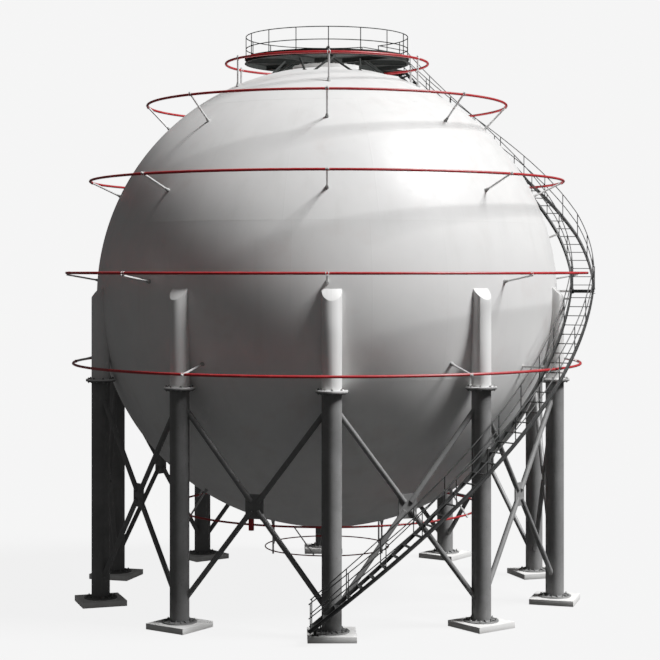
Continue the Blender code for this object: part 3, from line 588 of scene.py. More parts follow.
def deck_finish(name):
    """Dark tread plate, its near-black tone partly painted shade for the deck's underside: raised diamonds,
    worn pale on their tops, and dirt between them.
    """
    make = Finish(name, gloss=DULL)
    waves = []
    for turn in (45, -45):
        inputs = {"Vector": make.place, "Rotation": (0, 0, math.radians(turn))}
        place = make.node("ShaderNodeMapping", inputs).outputs[0]
        wave = make.node("ShaderNodeTexWave", {"Vector": place, "Scale": 5.5}, bands_direction="X")
        waves.append(make.step(wave.outputs["Fac"], 0.55, 0.8))
    diamonds = make.math("MULTIPLY", waves[0], waves[1])
    dirt = make.step(make.noise(2.5, 5), 0.4, 0.7)
    worn = make.math("MULTIPLY", diamonds, make.step(make.noise(3.5, 3), 0.4, 0.65))
    # Near-black plate tone: partly the plate's colour, partly painted shade that darkens the deck's
    # underside.
    colour = make.blend(dirt, (0.014, 0.016, 0.015), (0.026, 0.029, 0.026))
    colour = make.cover(colour, worn, 0.6, (0.09, 0.094, 0.09))
    rough = make.step(dirt, 0.0, 1.0, 0.5, 0.7)
    return make.finish(colour, rough, diamonds, 0.004)


SHELL_PAINT = shell_finish("shell_paint_stubs", 1)
SEAM_PAINT = paint_finish("seam_paint", SEAM_TONES, 0.5)
COLUMN_PAINT = paint_finish("column_paint", COLUMN_TONES, 0.46)
CONCRETE = concrete_finish("footing_concrete")
RED_PAINT = paint_finish("spray_pipe_red", RED_TONES, 0.36)
ROD_ZINC = zinc_finish("rod_zinc", ROD_TONES, 0.45, 0.1)
FOOT_PAINT = paint_finish("rod_foot_paint", FOOT_TONES, 0.55)
STAIR_PAINT = paint_finish("stair_steel", STAIR_TONES, 0.5, 0.2)
TREAD_ZINC = zinc_finish("tread_zinc", TREAD_TONES, 0.55, 0.5)
DECK_PLATE = deck_finish("platform_deck_plate")
PLATFORM_PAINT = paint_finish("platform_steel", PLATFORM_TONES, 0.7, gloss=DULL)
BOLT_ZINC = zinc_finish("bolt_zinc", BOLT_TONES, 0.42, 0.6)
BRACKET_PAINT = paint_finish("bracket_paint", BRACKET_TONES, 0.5)
VENT_PAINT = paint_finish("vent_paint", VENT_TONES, 0.45)


def meridian(radius, latitudes):
    """(plan radius, height) points of a sphere round the shell's centre."""
    points = []
    for latitude in latitudes:
        angle = math.radians(latitude)
        plan_radius = max(radius * math.cos(angle), POLE_RADIUS)
        points.append((plan_radius, SHELL_CENTRE + radius * math.sin(angle)))
    return points


def make_shell():
    """The belts and crowns as smooth curved plates, with a raised weld along each edge between them."""
    for name, (low, high) in BELT_EDGES.items():
        rows = round((high - low) / SHELL_ROW_STEP) + 1
        latitudes = shares(rows, high, low)
        outer = meridian(SHELL_RADIUS, latitudes)
        inner = meridian(INNER_RADIUS, latitudes[::-1])
        bm = bmesh.new()
        turned(bm, outer + inner, sides=SHELL_SIDES, closed=True)
        paint = shell_finish(f"shell_paint_{name}", BELT_PLATES[name])
        show(f"{name}_plates", bm, paint, "shell_paint", name)
        if low > -90:
            bm = bmesh.new()
            tube(bm, hoop(*outer[-1]), SEAM_BEAD, BEAD_SIDES, closed=True)
            show(f"{name}_seam", bm, SEAM_PAINT, "shell_paint")


def cap_height(y):
    """The height of the slanted cap of the first stub at a depth."""
    outer = -COLUMN_CIRCLE - COLUMN_RADIUS
    slope = (STUB_CAP_INNER_HEIGHT - STUB_CAP_OUTER_HEIGHT) / (-SHELL_RADIUS - outer)
    return STUB_CAP_OUTER_HEIGHT + slope * (y - outer)


def make_stubs():
    """The upper ends of the columns, which run into the shell under slanted caps, with their welds."""
    top = FLANGE_HEIGHT + FLANGE_THICKNESS
    bm = bmesh.new()
    flange = [(FLANGE_RADIUS, FLANGE_HEIGHT), (FLANGE_RADIUS, top - EDGE), (FLANGE_RADIUS - EDGE, top)]
    turned(bm, flange, COLUMN_AXIS)
    rim = [Vector((x, y, 0)) + COLUMN_PLACE for x, y in circle(COLUMN_RADIUS, COLUMN_SIDES)]
    lip = [Vector((x, y, 0)) + COLUMN_PLACE for x, y in circle(COLUMN_RADIUS - EDGE, COLUMN_SIDES)]
    rows = [[point + UP * top for point in rim]]
    rows.append([point + UP * (cap_height(point.y) - EDGE) for point in rim])
    rows.append([point + UP * cap_height(point.y) for point in lip])
    loft(bm, rows)
    show_copies("column_stub", bm, SHELL_PAINT)

    bm = bmesh.new()
    low_weld = []
    for x, y in circle(COLUMN_RADIUS + EDGE, 4 * COLUMN_SIDES):
        point = Vector((x, y, 0)) + COLUMN_PLACE
        if point.length < SHELL_RADIUS:
            low_weld.append((math.atan2(-x, y), point + UP * (SHELL_CENTRE - shell_rise(point.length))))
    low_weld.sort(key=lambda item: item[0])
    tube(bm, [point for _, point in low_weld], WELD_BEAD, BEAD_SIDES, reference=Vector((0.1, 1, 0.1)))
    tube(bm, [point + UP * (top + EDGE) for point in rim], WELD_BEAD, BEAD_SIDES, closed=True)
    show_copies("column_stub_welds", bm, SEAM_PAINT)


def add_ribs(bm, outer, low, high):
    """Triangular plates between the pipe of column 1 and the plate at its end, between the bolts."""
    inner = COLUMN_RADIUS
    lip = math.copysign(STEEL, high - low)
    outline = [(inner, low), (outer, low), (outer, low + lip), (inner + STEEL, high), (inner, high)]
    for number in range(BOLT_COUNT):
        turn = COLUMN_AXIS @ turned_to(360 * (number + 0.5) / BOLT_COUNT)
        prism(bm, [turn @ Vector((0, -radius, height)) for radius, height in outline], RIB_THICKNESS)


def make_columns():
    """The lower columns with their base plates, flanges, ribs and welds, and the bolts."""
    foot = FOOTING_HEIGHT
    plate_top = foot + BASE_PLATE_THICKNESS
    flange_low = FLANGE_HEIGHT - FLANGE_THICKNESS
    profile = [
        (BASE_PLATE_RADIUS, foot),
        (BASE_PLATE_RADIUS, plate_top - EDGE),
        (BASE_PLATE_RADIUS - EDGE, plate_top),
        (COLUMN_RADIUS + 2 * EDGE, plate_top),
        (COLUMN_RADIUS, plate_top + 2 * EDGE),
        (COLUMN_RADIUS, flange_low - 2 * EDGE),
        (COLUMN_RADIUS + 2 * EDGE, flange_low),
        (FLANGE_RADIUS - EDGE, flange_low),
        (FLANGE_RADIUS, flange_low + EDGE),
        (FLANGE_RADIUS, FLANGE_HEIGHT),
    ]
    bm = bmesh.new()
    turned(bm, profile, COLUMN_AXIS)
    add_ribs(bm, BASE_BOLT_CIRCLE + NUT_RADIUS, plate_top, plate_top + BASE_RIB_HEIGHT)
    add_ribs(bm, FLANGE_RADIUS - STEEL, flange_low, flange_low - FLANGE_RIB_HEIGHT)
    show_copies("column_pipe", bm, COLUMN_PAINT, "column")

    bm = bmesh.new()
    for number in range(BOLT_COUNT):
        turn = COLUMN_AXIS @ turned_to(360 * number / BOLT_COUNT)
        nut(bm, turn @ Vector((0, -BASE_BOLT_CIRCLE, plate_top)), UP, BASE_STUD_END)
        nut(bm, turn @ Vector((0, -FLANGE_BOLT_CIRCLE, FLANGE_HEIGHT + FLANGE_THICKNESS)), UP)
        nut(bm, turn @ Vector((0, -FLANGE_BOLT_CIRCLE, flange_low)), -UP)
    show_copies("column_bolts", bm, BOLT_ZINC)


def make_footings():
    """The square concrete footings, with worn edges."""
    bm = bmesh.new()
    middle = COLUMN_AXIS @ Matrix.Translation(UP * FOOTING_HEIGHT / 2)
    block(bm, middle, (FOOTING_SIDE, FOOTING_SIDE, FOOTING_HEIGHT), FOOTING_BEVEL)
    show_copies("footing_block", bm, CONCRETE, "footing")


def make_braces():
    """The X braces: four pipes with closed ends, let into a plate with cut corners, and their welds."""
    left = on_plan(COLUMN_CIRCLE, 0, 0)
    right = on_plan(COLUMN_CIRCLE, COLUMN_STEP, 0)
    middle = (left + right) / 2 + UP * (BRACE_TOP + BRACE_BOTTOM) / 2
    along = (right - left).normalized()
    out = along.cross(UP)
    half_width = GUSSET_WIDTH / 2
    half_height = GUSSET_HEIGHT / 2
    corner_x = half_width - GUSSET_CORNER
    corner_z = half_height - GUSSET_CORNER
    quarter = [(half_width, corner_z), (corner_x, half_height)]
    upper = quarter + [(-x, z) for x, z in reversed(quarter)]
    corners = upper + [(-x, -z) for x, z in upper]
    bm = bmesh.new()
    prism(bm, [middle + along * x + UP * z for x, z in corners], GUSSET_THICKNESS)
    for place in (left, right):
        for height in (BRACE_BOTTOM, BRACE_TOP):
            end = place + UP * height
            ray = (end - middle).normalized()
            start = middle + ray * GUSSET_LAP
            stop = end - ray * COLUMN_RADIUS * BRACE_END_SHARE
            straight(bm, start, stop, BRACE_RADIUS, BRACE_SIDES, EDGE)
            across = ray.cross(out)
            for side in (-1, 1):
                for face in (-1, 1):
                    shift = across * side * BRACE_RADIUS + out * face * GUSSET_THICKNESS / 2
                    straight(bm, start + shift, start + shift + ray * half_width, EDGE, BEAD_SIDES)
            weld = end - ray * (COLUMN_RADIUS + BRACE_WELD_BACK)
            turned(bm, circle_band(BRACE_RADIUS + EDGE, 2 * EDGE), standing(weld, ray), BRACE_SIDES)
    show_copies("brace_pipes", bm, COLUMN_PAINT, "brace")


def circle_band(radius, width):
    """The profile of a narrow weld round a pipe."""
    return [(radius - EDGE, -width), (radius, -width / 2), (radius, width / 2), (radius - EDGE, width)]


def rod_ends(name):
    """Where each rod of a ring leaves the shell, where it ends, and where the ring crosses it."""
    radius, height, count, first, upright = RINGS[name]
    foot_drop, tip_drop = ROD_DROPS.get(name, (0, 0))
    ends = []
    for number in range(count):
        azimuth = first + 360 * number / count
        azimuth = MOVED_RODS.get((name, azimuth), azimuth)
        at_ring = on_plan(radius, azimuth, SHELL_CENTRE + height)
        if upright:
            level = math.copysign(shell_rise(radius), height)
            at_shell = on_plan(radius, azimuth, SHELL_CENTRE + level)
        else:
            at_shell = CENTRE + (at_ring - CENTRE - UP * foot_drop).normalized() * SHELL_RADIUS
        crossing = at_ring - UP * tip_drop
        tip = crossing + (crossing - at_shell).normalized() * ROD_PAST_RING
        ends.append((at_shell, tip, at_ring))
    return ends


def make_rings():
    """The spray pipes, with the rods that carry them, the rods' feet and the clamps."""
    foot = [
        (FOOT_RADIUS, -FOOT_DEPTH),
        (FOOT_RADIUS, STEEL),
        (FOOT_SHOULDER_RADIUS, 2 * STEEL),
        (FOOT_TIP_RADIUS, FOOT_LENGTH),
    ]
    for name, (radius, height, *_) in RINGS.items():
        bm = bmesh.new()
        pipe_radius = THIN_RINGS.get(name, RING_PIPE_RADIUS)
        tube(bm, hoop(radius, SHELL_CENTRE + height), pipe_radius, PIPE_SIDES, closed=True)
        if name == "spray_ring_under":
            add_inlet(bm)
        show(f"{name}_pipe", bm, RED_PAINT, "spray_pipe_red", name)

        bm = bmesh.new()
        feet = bmesh.new()
        for at_shell, tip, at_ring in rod_ends(name):
            out = (tip - at_shell).normalized()
            straight(bm, at_shell - out * SHELL_WALL, tip, ROD_RADIUS, edge=EDGE)
            around = at_ring.cross(UP).normalized()
            lift = around.cross(out)
            for side in (-1, 1):
                middle = at_ring + around * side * (ROD_RADIUS + CLAMP_RADIUS)
                clamp = [middle + out * x + lift * y for x, y in circle(pipe_radius, PIPE_SIDES)]
                tube(bm, clamp, CLAMP_RADIUS, BEAD_SIDES, closed=True, reference=around)
            turned(feet, foot, standing(at_shell, out), PAD_SIDES)
        if name == "drain_ring":
            add_link(bm)
        show(f"{name}_rods", bm, ROD_ZINC, "spray_pipe_red")
        show(f"{name}_feet", feet, FOOT_PAINT, "spray_pipe_red")


def add_inlet(bm):
    """The short upright inlet on the ring under the tank, with a rim at its upper end."""
    radius, height = RINGS["spray_ring_under"][:2]
    low = on_plan(radius, INLET_AZIMUTH, SHELL_CENTRE + height - INLET_BELOW)
    length = INLET_BELOW + INLET_ABOVE
    rim = INLET_RADIUS - EDGE
    profile = [
        (rim, 0),
        (INLET_RADIUS, EDGE),
        (INLET_RADIUS, length - EDGE),
        (rim, length),
        (rim - EDGE, length),
        (rim - EDGE, length - INLET_RADIUS),
    ]
    turned(bm, profile, Matrix.Translation(low), RIM_SIDES)


def add_link(bm):
    """The pipe from the ring under the tank down to the drain ring."""
    outer_radius, outer_height = RINGS["spray_ring_under"][:2]
    inner_radius, inner_height = RINGS["drain_ring"][:2]
    pipe_radius = THIN_RINGS["drain_ring"]
    start = on_plan(outer_radius - pipe_radius, LINK_AZIMUTH, SHELL_CENTRE + outer_height)
    end = on_plan(inner_radius, LINK_AZIMUTH, SHELL_CENTRE + inner_height)
    straight(bm, start, end, pipe_radius)


def lower_path(share):
    """The middle of the lower flight, from its foot at 0 to the landing at 1."""
    azimuth = STAIR_FOOT_AZIMUTH + (LANDING_START - STAIR_FOOT_AZIMUTH) * share
    height = STAIR_FOOT_HEIGHT + (LANDING_HEIGHT - STAIR_FOOT_HEIGHT) * share
    return on_plan(STAIR_RADIUS, azimuth, height)


def landing_path(share):
    """The middle of the landing at the equator."""
    azimuth = LANDING_START + (LANDING_END - LANDING_START) * share
    return on_plan(STAIR_RADIUS, azimuth, LANDING_HEIGHT)


def upper_radius(level):
    """The plan radius of the upper flight at a level over the centre.

    It follows a sphere round the shell, then runs on straight where that sphere gets too flat.
    """
    bend_radius = math.sqrt(SHOULDER_RADIUS**2 - TANGENT_HEIGHT**2)
    if level < TANGENT_HEIGHT:
        return math.sqrt(SHOULDER_RADIUS**2 - level**2)
    return bend_radius - (level - TANGENT_HEIGHT) * TANGENT_HEIGHT / bend_radius


def upper_path(share):
    """The middle of the upper flight, from the landing at 0 to its top at 1."""
    azimuth = LANDING_END + (STAIR_TOP_AZIMUTH - LANDING_END) * share
    height = LANDING_HEIGHT + (STAIR_TOP_HEIGHT - LANDING_HEIGHT) * share
    level = height - SHELL_CENTRE
    foot_error = STAIR_RADIUS - upper_radius(LANDING_HEIGHT - SHELL_CENTRE)
    easing = max(0.0, 1 - share / UPPER_EASING_SHARE) * foot_error
    return on_plan(upper_radius(level) + easing, azimuth, height)


def outward(path, share):
    """The level direction to the right of someone who climbs the path."""
    along = path(share + PATH_NUDGE) - path(share - PATH_NUDGE)
    return Vector((along.y, -along.x, 0)).normalized()


def beside(path, steps, offset, lift=0.0):
    """Points at an offset from the middle of a path, and over it."""
    return [path(share) + outward(path, share) * offset + UP * lift for share in steps]


def channel(side, depth):
    """The outline of a channel bar with its flanges away from the steps."""
    half = STRINGER_THICKNESS / 2
    deep = depth / 2
    web = STEEL - half
    outline = [(-half, -deep), (half, -deep), (half, STEEL - deep), (web, STEEL - deep)]
    outline += [(web, deep - STEEL), (half, deep - STEEL), (half, deep), (-half, deep)]
    if side > 0:
        return outline
    return [(-x, y) for x, y in reversed(outline)]


def add_stringers(bm, path, depth):
    """The two channel bars of a flight or landing."""
    for side in (-1, 1):
        line = beside(path, shares(PATH_STEPS), side * HALF_WIDTH)
        sweep(bm, line, channel(side, depth))


def add_treads(bm, path, count, first):
    """Grating steps: a nosing, a back bar, bars between them and a plate at each end."""
    width = STAIR_WIDTH - STRINGER_THICKNESS + STEEL
    for number in range(count):
        share = (number + first) / count
        across = outward(path, share)
        along = UP.cross(across)
        turn = Matrix((across, along, UP)).transposed().to_4x4()
        place = Matrix.Translation(path(share)) @ turn
        for side in (-1, 1):
            edge = side * (TREAD_DEPTH - 2 * STEEL) / 2
            block(bm, place @ Matrix.Translation((0, edge, 0)), (width, 2 * STEEL, TREAD_THICKNESS))
            end = side * (width - STEEL) / 2
            block(bm, place @ Matrix.Translation((end, 0, 0)), (STEEL, TREAD_DEPTH, TREAD_THICKNESS))
        for y in shares(TREAD_BARS + 2, -TREAD_DEPTH / 2, TREAD_DEPTH / 2)[1:-1]:
            block(bm, place @ Matrix.Translation((0, y, 0)), (width, GRATE_BAR, GRATE_BAR_DEPTH))
        for x in shares(TREAD_CROSS_BARS + 2, -width / 2, width / 2)[1:-1]:
            cross = place @ Matrix.Translation((x, 0, TREAD_THICKNESS / 3))
            block(bm, cross, (GRATE_BAR, TREAD_DEPTH, GRATE_BAR))


def square_bar(bm, start, end, side):
    """A square tube between two points."""
    along = end - start
    turn = along.to_track_quat("Y", "Z").to_matrix().to_4x4()
    block(bm, Matrix.Translation((start + end) / 2) @ turn, (side, along.length, side), EDGE)


def add_leg(bm):
    """The leg under the foot of the stair, on a plate with an anchor on each side."""
    top = beside(lower_path, [LEG_SHARE], -HALF_WIDTH)[0]
    low = Vector((top.x, top.y, FOOTING_HEIGHT))
    square_bar(bm, low, top, LEG_SIDE)
    size = (LEG_PLATE_SIDE, LEG_PLATE_SIDE, LEG_PLATE_THICKNESS)
    block(bm, Matrix.Translation(low + UP * LEG_PLATE_THICKNESS / 2), size)
    for side in (-1, 1):
        anchor = Matrix.Translation(low + Vector((side * LEG_PLATE_SIDE / 3, 0, LEG_PLATE_THICKNESS)))
        turned(bm, [(NUT_RADIUS / 2, 0), (NUT_RADIUS / 2, NUT_HEIGHT / 2)], anchor, HEXAGON_SIDES)


def show_flight(name, bm, path, brackets, treads, first):
    """The pieces of a flight: its bars, its brackets from start to end, and its treads."""
    show(f"stair_{name}_stringers", bm, STAIR_PAINT, "stair_steel", f"stair_{name}_flight")
    bm = bmesh.new()
    for start, end in brackets:
        square_bar(bm, start, end, BRACKET_SIDE)
    show(f"stair_{name}_brackets", bm, BRACKET_PAINT, "stair_steel")
    bm = bmesh.new()
    add_treads(bm, path, treads, first)
    show(f"stair_{name}_treads", bm, TREAD_ZINC, "stair_steel")


def make_lower_flight():
    """The flight from the ground to the landing at the equator."""
    bm = bmesh.new()
    add_stringers(bm, lower_path, STRINGER_DEPTH)
    add_leg(bm)
    brackets = []
    for azimuth in (COLUMN_STEP, SHELL_BRACKET_AZIMUTH, 2 * COLUMN_STEP):
        share = (azimuth - STAIR_FOOT_AZIMUTH) / (LANDING_START - STAIR_FOOT_AZIMUTH)
        start = beside(lower_path, [share], -HALF_WIDTH)[0]
        reach = COLUMN_CIRCLE
        if azimuth == SHELL_BRACKET_AZIMUTH:
            reach = shell_rise(start.z - SHELL_CENTRE)
        brackets.append((start, on_plan(reach, azimuth, start.z)))
    show_flight("lower", bm, lower_path, brackets, LOWER_TREADS, LOWER_FIRST_TREAD)


def make_landing():
    """The level landing: edge channels, end bars, its two arms, bearing bars and cross bars."""
    bm = bmesh.new()
    add_stringers(bm, landing_path, LANDING_EDGE_DEPTH)
    for share in LANDING_END_BARS:
        ends = [beside(landing_path, [share], offset)[0] for offset in (-HALF_WIDTH, HALF_WIDTH)]
        square_bar(bm, *ends, LANDING_END_BAR)
    show("stair_landing_frame", bm, STAIR_PAINT, "stair_steel", "stair_landing")
    bm = bmesh.new()
    for share in LANDING_BRACKETS:
        start = beside(landing_path, [share], -HALF_WIDTH)[0]
        end = Vector((start.x, start.y, 0)).normalized() * INNER_RADIUS + UP * start.z
        square_bar(bm, start, end, BRACKET_SIDE)
    show("stair_landing_brackets", bm, BRACKET_PAINT, "stair_steel")
    bm = bmesh.new()
    across, up = GRATE_BAR / 2, TREAD_THICKNESS / 2
    bar = [(-across, -up), (across, -up), (across, up), (-across, up)]
    inside = HALF_WIDTH - STRINGER_THICKNESS / 2
    for offset in shares(LANDING_BARS, -inside, inside):
        sweep(bm, beside(landing_path, shares(LANDING_STEPS), offset), bar)
    for share in shares(LANDING_CROSS_BARS, *LANDING_CROSS_SPAN):
        cross = [beside(landing_path, [share], offset)[0] for offset in (-inside, inside)]
        sweep(bm, cross, bar)
    show("stair_landing_grate", bm, TREAD_ZINC, "stair_steel")


def make_upper_flight():
    """The flight from the landing over the shoulder of the tank to the bridge."""
    bm = bmesh.new()
    add_stringers(bm, upper_path, STRINGER_DEPTH)
    brackets = []
    for share in UPPER_BRACKETS:
        start = beside(upper_path, [share], -HALF_WIDTH)[0]
        ray = (upper_path(share) - CENTRE).normalized()
        brackets.append((start, CENTRE + ray * INNER_RADIUS))
    show_flight("upper", bm, upper_path, brackets, UPPER_TREADS, UPPER_FIRST_TREAD)


def make_bridge():
    """The level bridge from the top of the flight to the platform, with plates down its edges."""
    edge = PLATFORM_RADIUS + STEEL / 2
    half = (STRINGER_THICKNESS + STAIR_WIDTH) / 2
    top = SHELL_CENTRE + DECK_TOP - STEEL / 2
    outer, inner = [beside(upper_path, [1.0], offset)[0] for offset in (half, -half)]
    outer.z = inner.z = top
    rim = [on_plan(edge, azimuth, top) for azimuth in shares(RIM_STEPS, GUARD_GAP_START, GUARD_GAP_END)]
    bm = bmesh.new()
    prism(bm, [outer, inner] + rim, STEEL)
    low = -UP * BRIDGE_DEPTH
    for start, end in ((outer, rim[-1]), (inner, rim[0]), (outer, inner)):
        prism(bm, [start, end, end + low, start + low], STEEL)
    show("stair_bridge_plate", bm, DECK_PLATE, "platform_steel", "stair_bridge")


def add_rails(bm, line, middle):
    """The top rail and the middle rail over a line."""
    for lift in (RAIL_OVER_STRINGER, middle):
        tube(bm, [point + UP * lift for point in line], RAIL_RADIUS)


def add_post(bm, low, high):
    """A post with a small foot plate."""
    straight(bm, low, high, POST_RADIUS, STUD_SIDES)
    turned(bm, [(POST_FOOT_RADIUS, 0), (POST_FOOT_RADIUS, STEEL)], Matrix.Translation(low), RAIL_SIDES)


def add_posts(bm, places):
    """Posts from the stringer to the top rail."""
    for place in places:
        add_post(bm, place + UP * STRINGER_DEPTH / 2, place + UP * RAIL_OVER_STRINGER)


def make_handrails():
    """The handrails on both sides of the stair."""
    for side, offset in (("inner", -HALF_WIDTH), ("outer", HALF_WIDTH)):
        bm = bmesh.new()
        add_rails(bm, beside(lower_path, shares(PATH_STEPS, *LOWER_RAIL_SPAN), offset), LOWER_MID_RAIL)
        add_posts(bm, beside(lower_path, shares(LOWER_POSTS, *LOWER_POST_SPAN), offset))
        name = f"handrail_lower_{side}"
        show(f"{name}_tubes", bm, STAIR_PAINT, "stair_steel", name)

        bm = bmesh.new()
        line = beside(landing_path, shares(LANDING_STEPS, *LANDING_RAIL_SPAN), offset)
        line += beside(upper_path, shares(PATH_STEPS, *UPPER_RAIL_SPAN), offset)
        gap_edge = GUARD_GAP_END if side == "outer" else GUARD_GAP_START
        line.append(on_plan(PLATFORM_RADIUS + POST_RADIUS, gap_edge, STAIR_TOP_HEIGHT))
        add_rails(bm, line, UPPER_MID_RAIL)
        add_posts(bm, beside(landing_path, LANDING_POSTS, offset))
        add_posts(bm, beside(upper_path, shares(UPPER_POSTS, *UPPER_POST_SPAN), offset))
        name = f"handrail_upper_{side}"
        show(f"{name}_tubes", bm, STAIR_PAINT, "stair_steel", name)


def make_deck():
    """The round deck of tread plate."""
    top = SHELL_CENTRE + DECK_TOP
    bottom = top - DECK_THICKNESS
    bm = bmesh.new()
    profile = [
        (VENT_HOLE_RADIUS, bottom),
        (PLATFORM_RADIUS, bottom),
        (PLATFORM_RADIUS, top - EDGE),
        (PLATFORM_RADIUS - EDGE, top),
        (VENT_HOLE_RADIUS, top),
    ]
    turned(bm, profile, sides=PLATFORM_SIDES, closed=True)
    deck = show("platform_deck_plates", bm, DECK_PLATE, "platform_steel", "platform_deck")
    deck.visible_shadow = False


def add_beam(bm, ends, depth):
    """An I-beam under the deck."""
    half = FRAME_WIDTH / 2
    web = STEEL / 2
    low, high = -depth / 2, depth / 2
    outline = [(-half, low), (half, low), (half, low + STEEL), (web, low + STEEL), (web, high - STEEL)]
    outline += [(half, high - STEEL), (half, high), (-half, high), (-half, high - STEEL)]
    outline += [(-web, high - STEEL), (-web, low + STEEL), (-half, low + STEEL)]
    sweep(bm, ends, outline)


def make_platform_frame():
    """The hoops and beams under the deck, and the struts that lean out to the shell."""
    low = SHELL_CENTRE + FRAME_BOTTOM
    high = SHELL_CENTRE + DECK_TOP - DECK_THICKNESS
    middle = (low + high) / 2
    bm = bmesh.new()
    rim = PLATFORM_RADIUS - FRAME_WIDTH
    web = PLATFORM_RADIUS - RIM_LIP
    half = [(rim, low), (PLATFORM_RADIUS, low), (PLATFORM_RADIUS, low + STEEL), (web, low + STEEL)]
    profile = half + [(radius, low + high - height) for radius, height in reversed(half)]
    turned(bm, profile, sides=PLATFORM_SIDES, closed=True)
    hub = FRAME_INNER_RADIUS + FRAME_WIDTH
    turned(bm, [(FRAME_INNER_RADIUS, low), (hub, low), (hub, high), (FRAME_INNER_RADIUS, high)], closed=True)
    for number in range(FRAME_BEAMS):
        azimuth = FRAME_FIRST_BEAM + 360 * number / FRAME_BEAMS
        ends = [on_plan(radius, azimuth, middle) for radius in (hub - EDGE, rim + EDGE)]
        add_beam(bm, ends, high - low)
        for side in (-1, 1):
            foot = on_plan(STRUT_FOOT_RADIUS, azimuth + side * STRUT_SPREAD, 0)
            foot.z = SHELL_CENTRE + shell_rise(STRUT_FOOT_RADIUS)
            head = on_plan(STRUT_TOP_RADIUS, azimuth + side * STRUT_HEAD_SPREAD, middle)
            straight(bm, foot - (head - foot).normalized() * SHELL_WALL, head, STRUT_RADIUS, RAIL_SIDES)
            pad = [(STRUT_PAD_RADIUS, -STEEL), (STRUT_PAD_RADIUS, STEEL)]
            turned(bm, pad, standing(foot, foot - CENTRE), PAD_SIDES)
    # The frame's near-black paint is partly painted shade for the deck's missing shadow.
    steel = show("platform_frame_steel", bm, PLATFORM_PAINT, "platform_steel", "platform_frame")
    steel.visible_shadow = False


def make_guard_rail():
    """The guard rail round the deck, open where the bridge arrives."""
    radius = PLATFORM_RADIUS - GUARD_INSET
    bm = bmesh.new()
    for level in (GUARD_TOP, GUARD_MIDDLE):
        turn = shares(PLATFORM_SIDES + 1, GUARD_GAP_END, GUARD_GAP_START + 360)
        tube(bm, [on_plan(radius, azimuth, SHELL_CENTRE + level) for azimuth in turn], RAIL_RADIUS)
    regular = [GUARD_POST_STEP * number for number in range(round(360 / GUARD_POST_STEP))]
    first = GUARD_GAP_START - GUARD_CLEAR_OF_GAP
    last = GUARD_GAP_END + GUARD_CLEAR_OF_GAP
    spots = [spot for spot in regular if not first < spot < last]
    spots += [GUARD_GAP_START - GUARD_END_POST_INSET, GUARD_GAP_END + GUARD_END_POST_INSET]
    for azimuth in spots:
        add_post(bm, *[on_plan(radius, azimuth, SHELL_CENTRE + level) for level in (DECK_TOP, GUARD_TOP)])
    show("platform_guard_rail_tubes", bm, PLATFORM_PAINT, "platform_steel", "platform_guard_rail")


def make_vent():
    """The low drum on top of the shell, with its bolted rim, and the bent vent pipe."""
    top = SHELL_CENTRE + DRUM_TOP
    low = SHELL_CENTRE + shell_rise(DRUM_RADIUS) - SHELL_WALL
    bm = bmesh.new()
    profile = [(DRUM_RADIUS, low), (DRUM_RADIUS, top - EDGE), (DRUM_RADIUS - EDGE, top)]
    turned(bm, profile, sides=PLATFORM_SIDES)
    show("top_drum", bm, SHELL_PAINT, "shell_paint", "top_drum_and_vent")
    bm = bmesh.new()
    for number in range(2 * BOLT_COUNT):
        azimuth = 360 * (number + 0.5) / (2 * BOLT_COUNT)
        nut(bm, on_plan(DRUM_RADIUS - 2 * NUT_RADIUS, azimuth, top), UP, EDGE)
    show("top_drum_bolts", bm, BOLT_ZINC, "shell_paint")

    bend_start = SHELL_CENTRE + VENT_TOP - VENT_BEND - VENT_RADIUS
    line = [UP * top]
    for angle in shares(VENT_BEND_STEPS, 0, VENT_BEND_ANGLE):
        away = VENT_BEND * (1 - math.cos(angle))
        line.append(Vector((away, 0, bend_start + VENT_BEND * math.sin(angle))))
    bm = bmesh.new()
    tube(bm, line, VENT_RADIUS, BRACE_SIDES, reference=Vector((0, 1, 0)))
    mouth = standing(line[-1], line[-1] - line[-2])
    half = VENT_RIM_THICKNESS / 2
    turned(bm, [(VENT_RIM_RADIUS, -half), (VENT_RIM_RADIUS, half)], mouth, RIM_SIDES)
    show("vent_pipe", bm, VENT_PAINT, "shell_paint")


def make_studio():
    """A pale floor and a pale wall far round it, which the camera sees but which throw no light."""
    for name, diffuse in (("studio_floor", FLOOR_DIFFUSE), ("studio_wall", 0.0)):
        bm = bmesh.new()
        if name == "studio_floor":
            bmesh.ops.create_circle(bm, cap_ends=True, segments=PLATFORM_SIDES, radius=STUDIO_RADIUS)
        else:
            rows = STUDIO_SIDES // 2
            bmesh.ops.create_uvsphere(bm, u_segments=STUDIO_SIDES, v_segments=rows, radius=STUDIO_RADIUS)
        mesh = bpy.data.meshes.new(name)
        bm.to_mesh(mesh)
        bm.free()
        mesh.materials.append(studio_material(name, diffuse))
        stage = placed(name, mesh)
        stage.visible_diffuse = False
        stage.visible_glossy = False
        stage.visible_transmission = False
        stage.visible_shadow = False


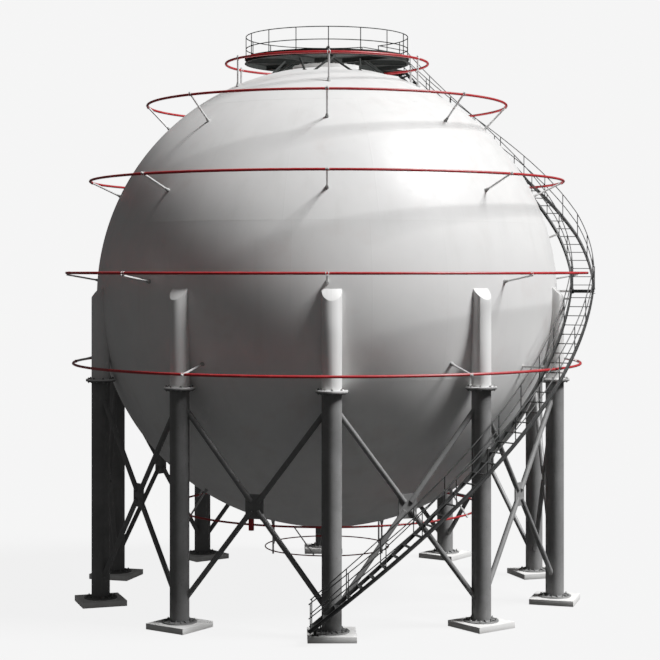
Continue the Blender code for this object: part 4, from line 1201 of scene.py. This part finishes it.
def studio_material(name, diffuse):
    """A pale surface that is mostly even light, with a faint share that takes soft shadows."""
    material = bpy.data.materials.new(name)
    material.use_nodes = True
    shader = material.node_tree.nodes["Principled BSDF"]
    shader.inputs["Base Color"].default_value = (diffuse, diffuse, diffuse, 1)
    shader.inputs["Roughness"].default_value = 1.0
    shader.inputs["Specular IOR Level"].default_value = 0.0
    shader.inputs["Emission Color"].default_value = (1, 1, 1, 1)
    key = KEY_STRENGTH * math.sin(math.radians(KEY_ELEVATION)) / math.pi
    shader.inputs["Emission Strength"].default_value = STUDIO_LEVEL - diffuse * (key + AMBIENT)
    return material


def make_lights():
    """One soft key light from the upper right and an even weak light from all round."""
    light = bpy.data.lights.new("key_light", "SUN")
    light.energy = KEY_STRENGTH
    light.angle = math.radians(KEY_ANGLE)
    key = placed("key_light", light)
    elevation = math.radians(KEY_ELEVATION)
    direction = on_plan(math.cos(elevation), KEY_AZIMUTH, math.sin(elevation))
    key.rotation_euler = direction.to_track_quat("Z", "Y").to_euler()
    world = bpy.data.worlds.new("studio_world")
    world.use_nodes = True
    background = world.node_tree.nodes["Background"]
    background.inputs["Color"].default_value = (1, 1, 1, 1)
    background.inputs["Strength"].default_value = AMBIENT
    bpy.context.scene.world = world


def make_camera():
    """The camera, at the photograph's viewing angle."""
    data = bpy.data.cameras.new("camera")
    data.lens = CAMERA_LENS
    data.sensor_width = CAMERA_SENSOR
    data.shift_x, data.shift_y = CAMERA_SHIFT
    data.clip_end = 3 * STUDIO_RADIUS
    camera = placed("camera", data)
    camera.location = CAMERA_PLACE
    camera.rotation_euler = (math.radians(90), 0, math.radians(CAMERA_TURN))
    bpy.context.scene.camera = camera


def set_tones():
    """Tones that keep pale paint from burning out, as in the photograph."""
    view = bpy.context.scene.view_settings
    view.view_transform = "Standard"
    view.use_curve_mapping = True
    curve = view.curve_mapping.curves[COMBINED_CURVE]
    for level, tone in TONE_CURVE:
        curve.points.new(level, tone)
    view.curve_mapping.update()


make_shell()
make_stubs()
make_columns()
make_footings()
make_braces()
make_rings()
make_lower_flight()
make_landing()
make_upper_flight()
make_bridge()
make_handrails()
make_deck()
make_platform_frame()
make_guard_rail()
make_vent()
make_studio()
make_lights()
make_camera()
set_tones()
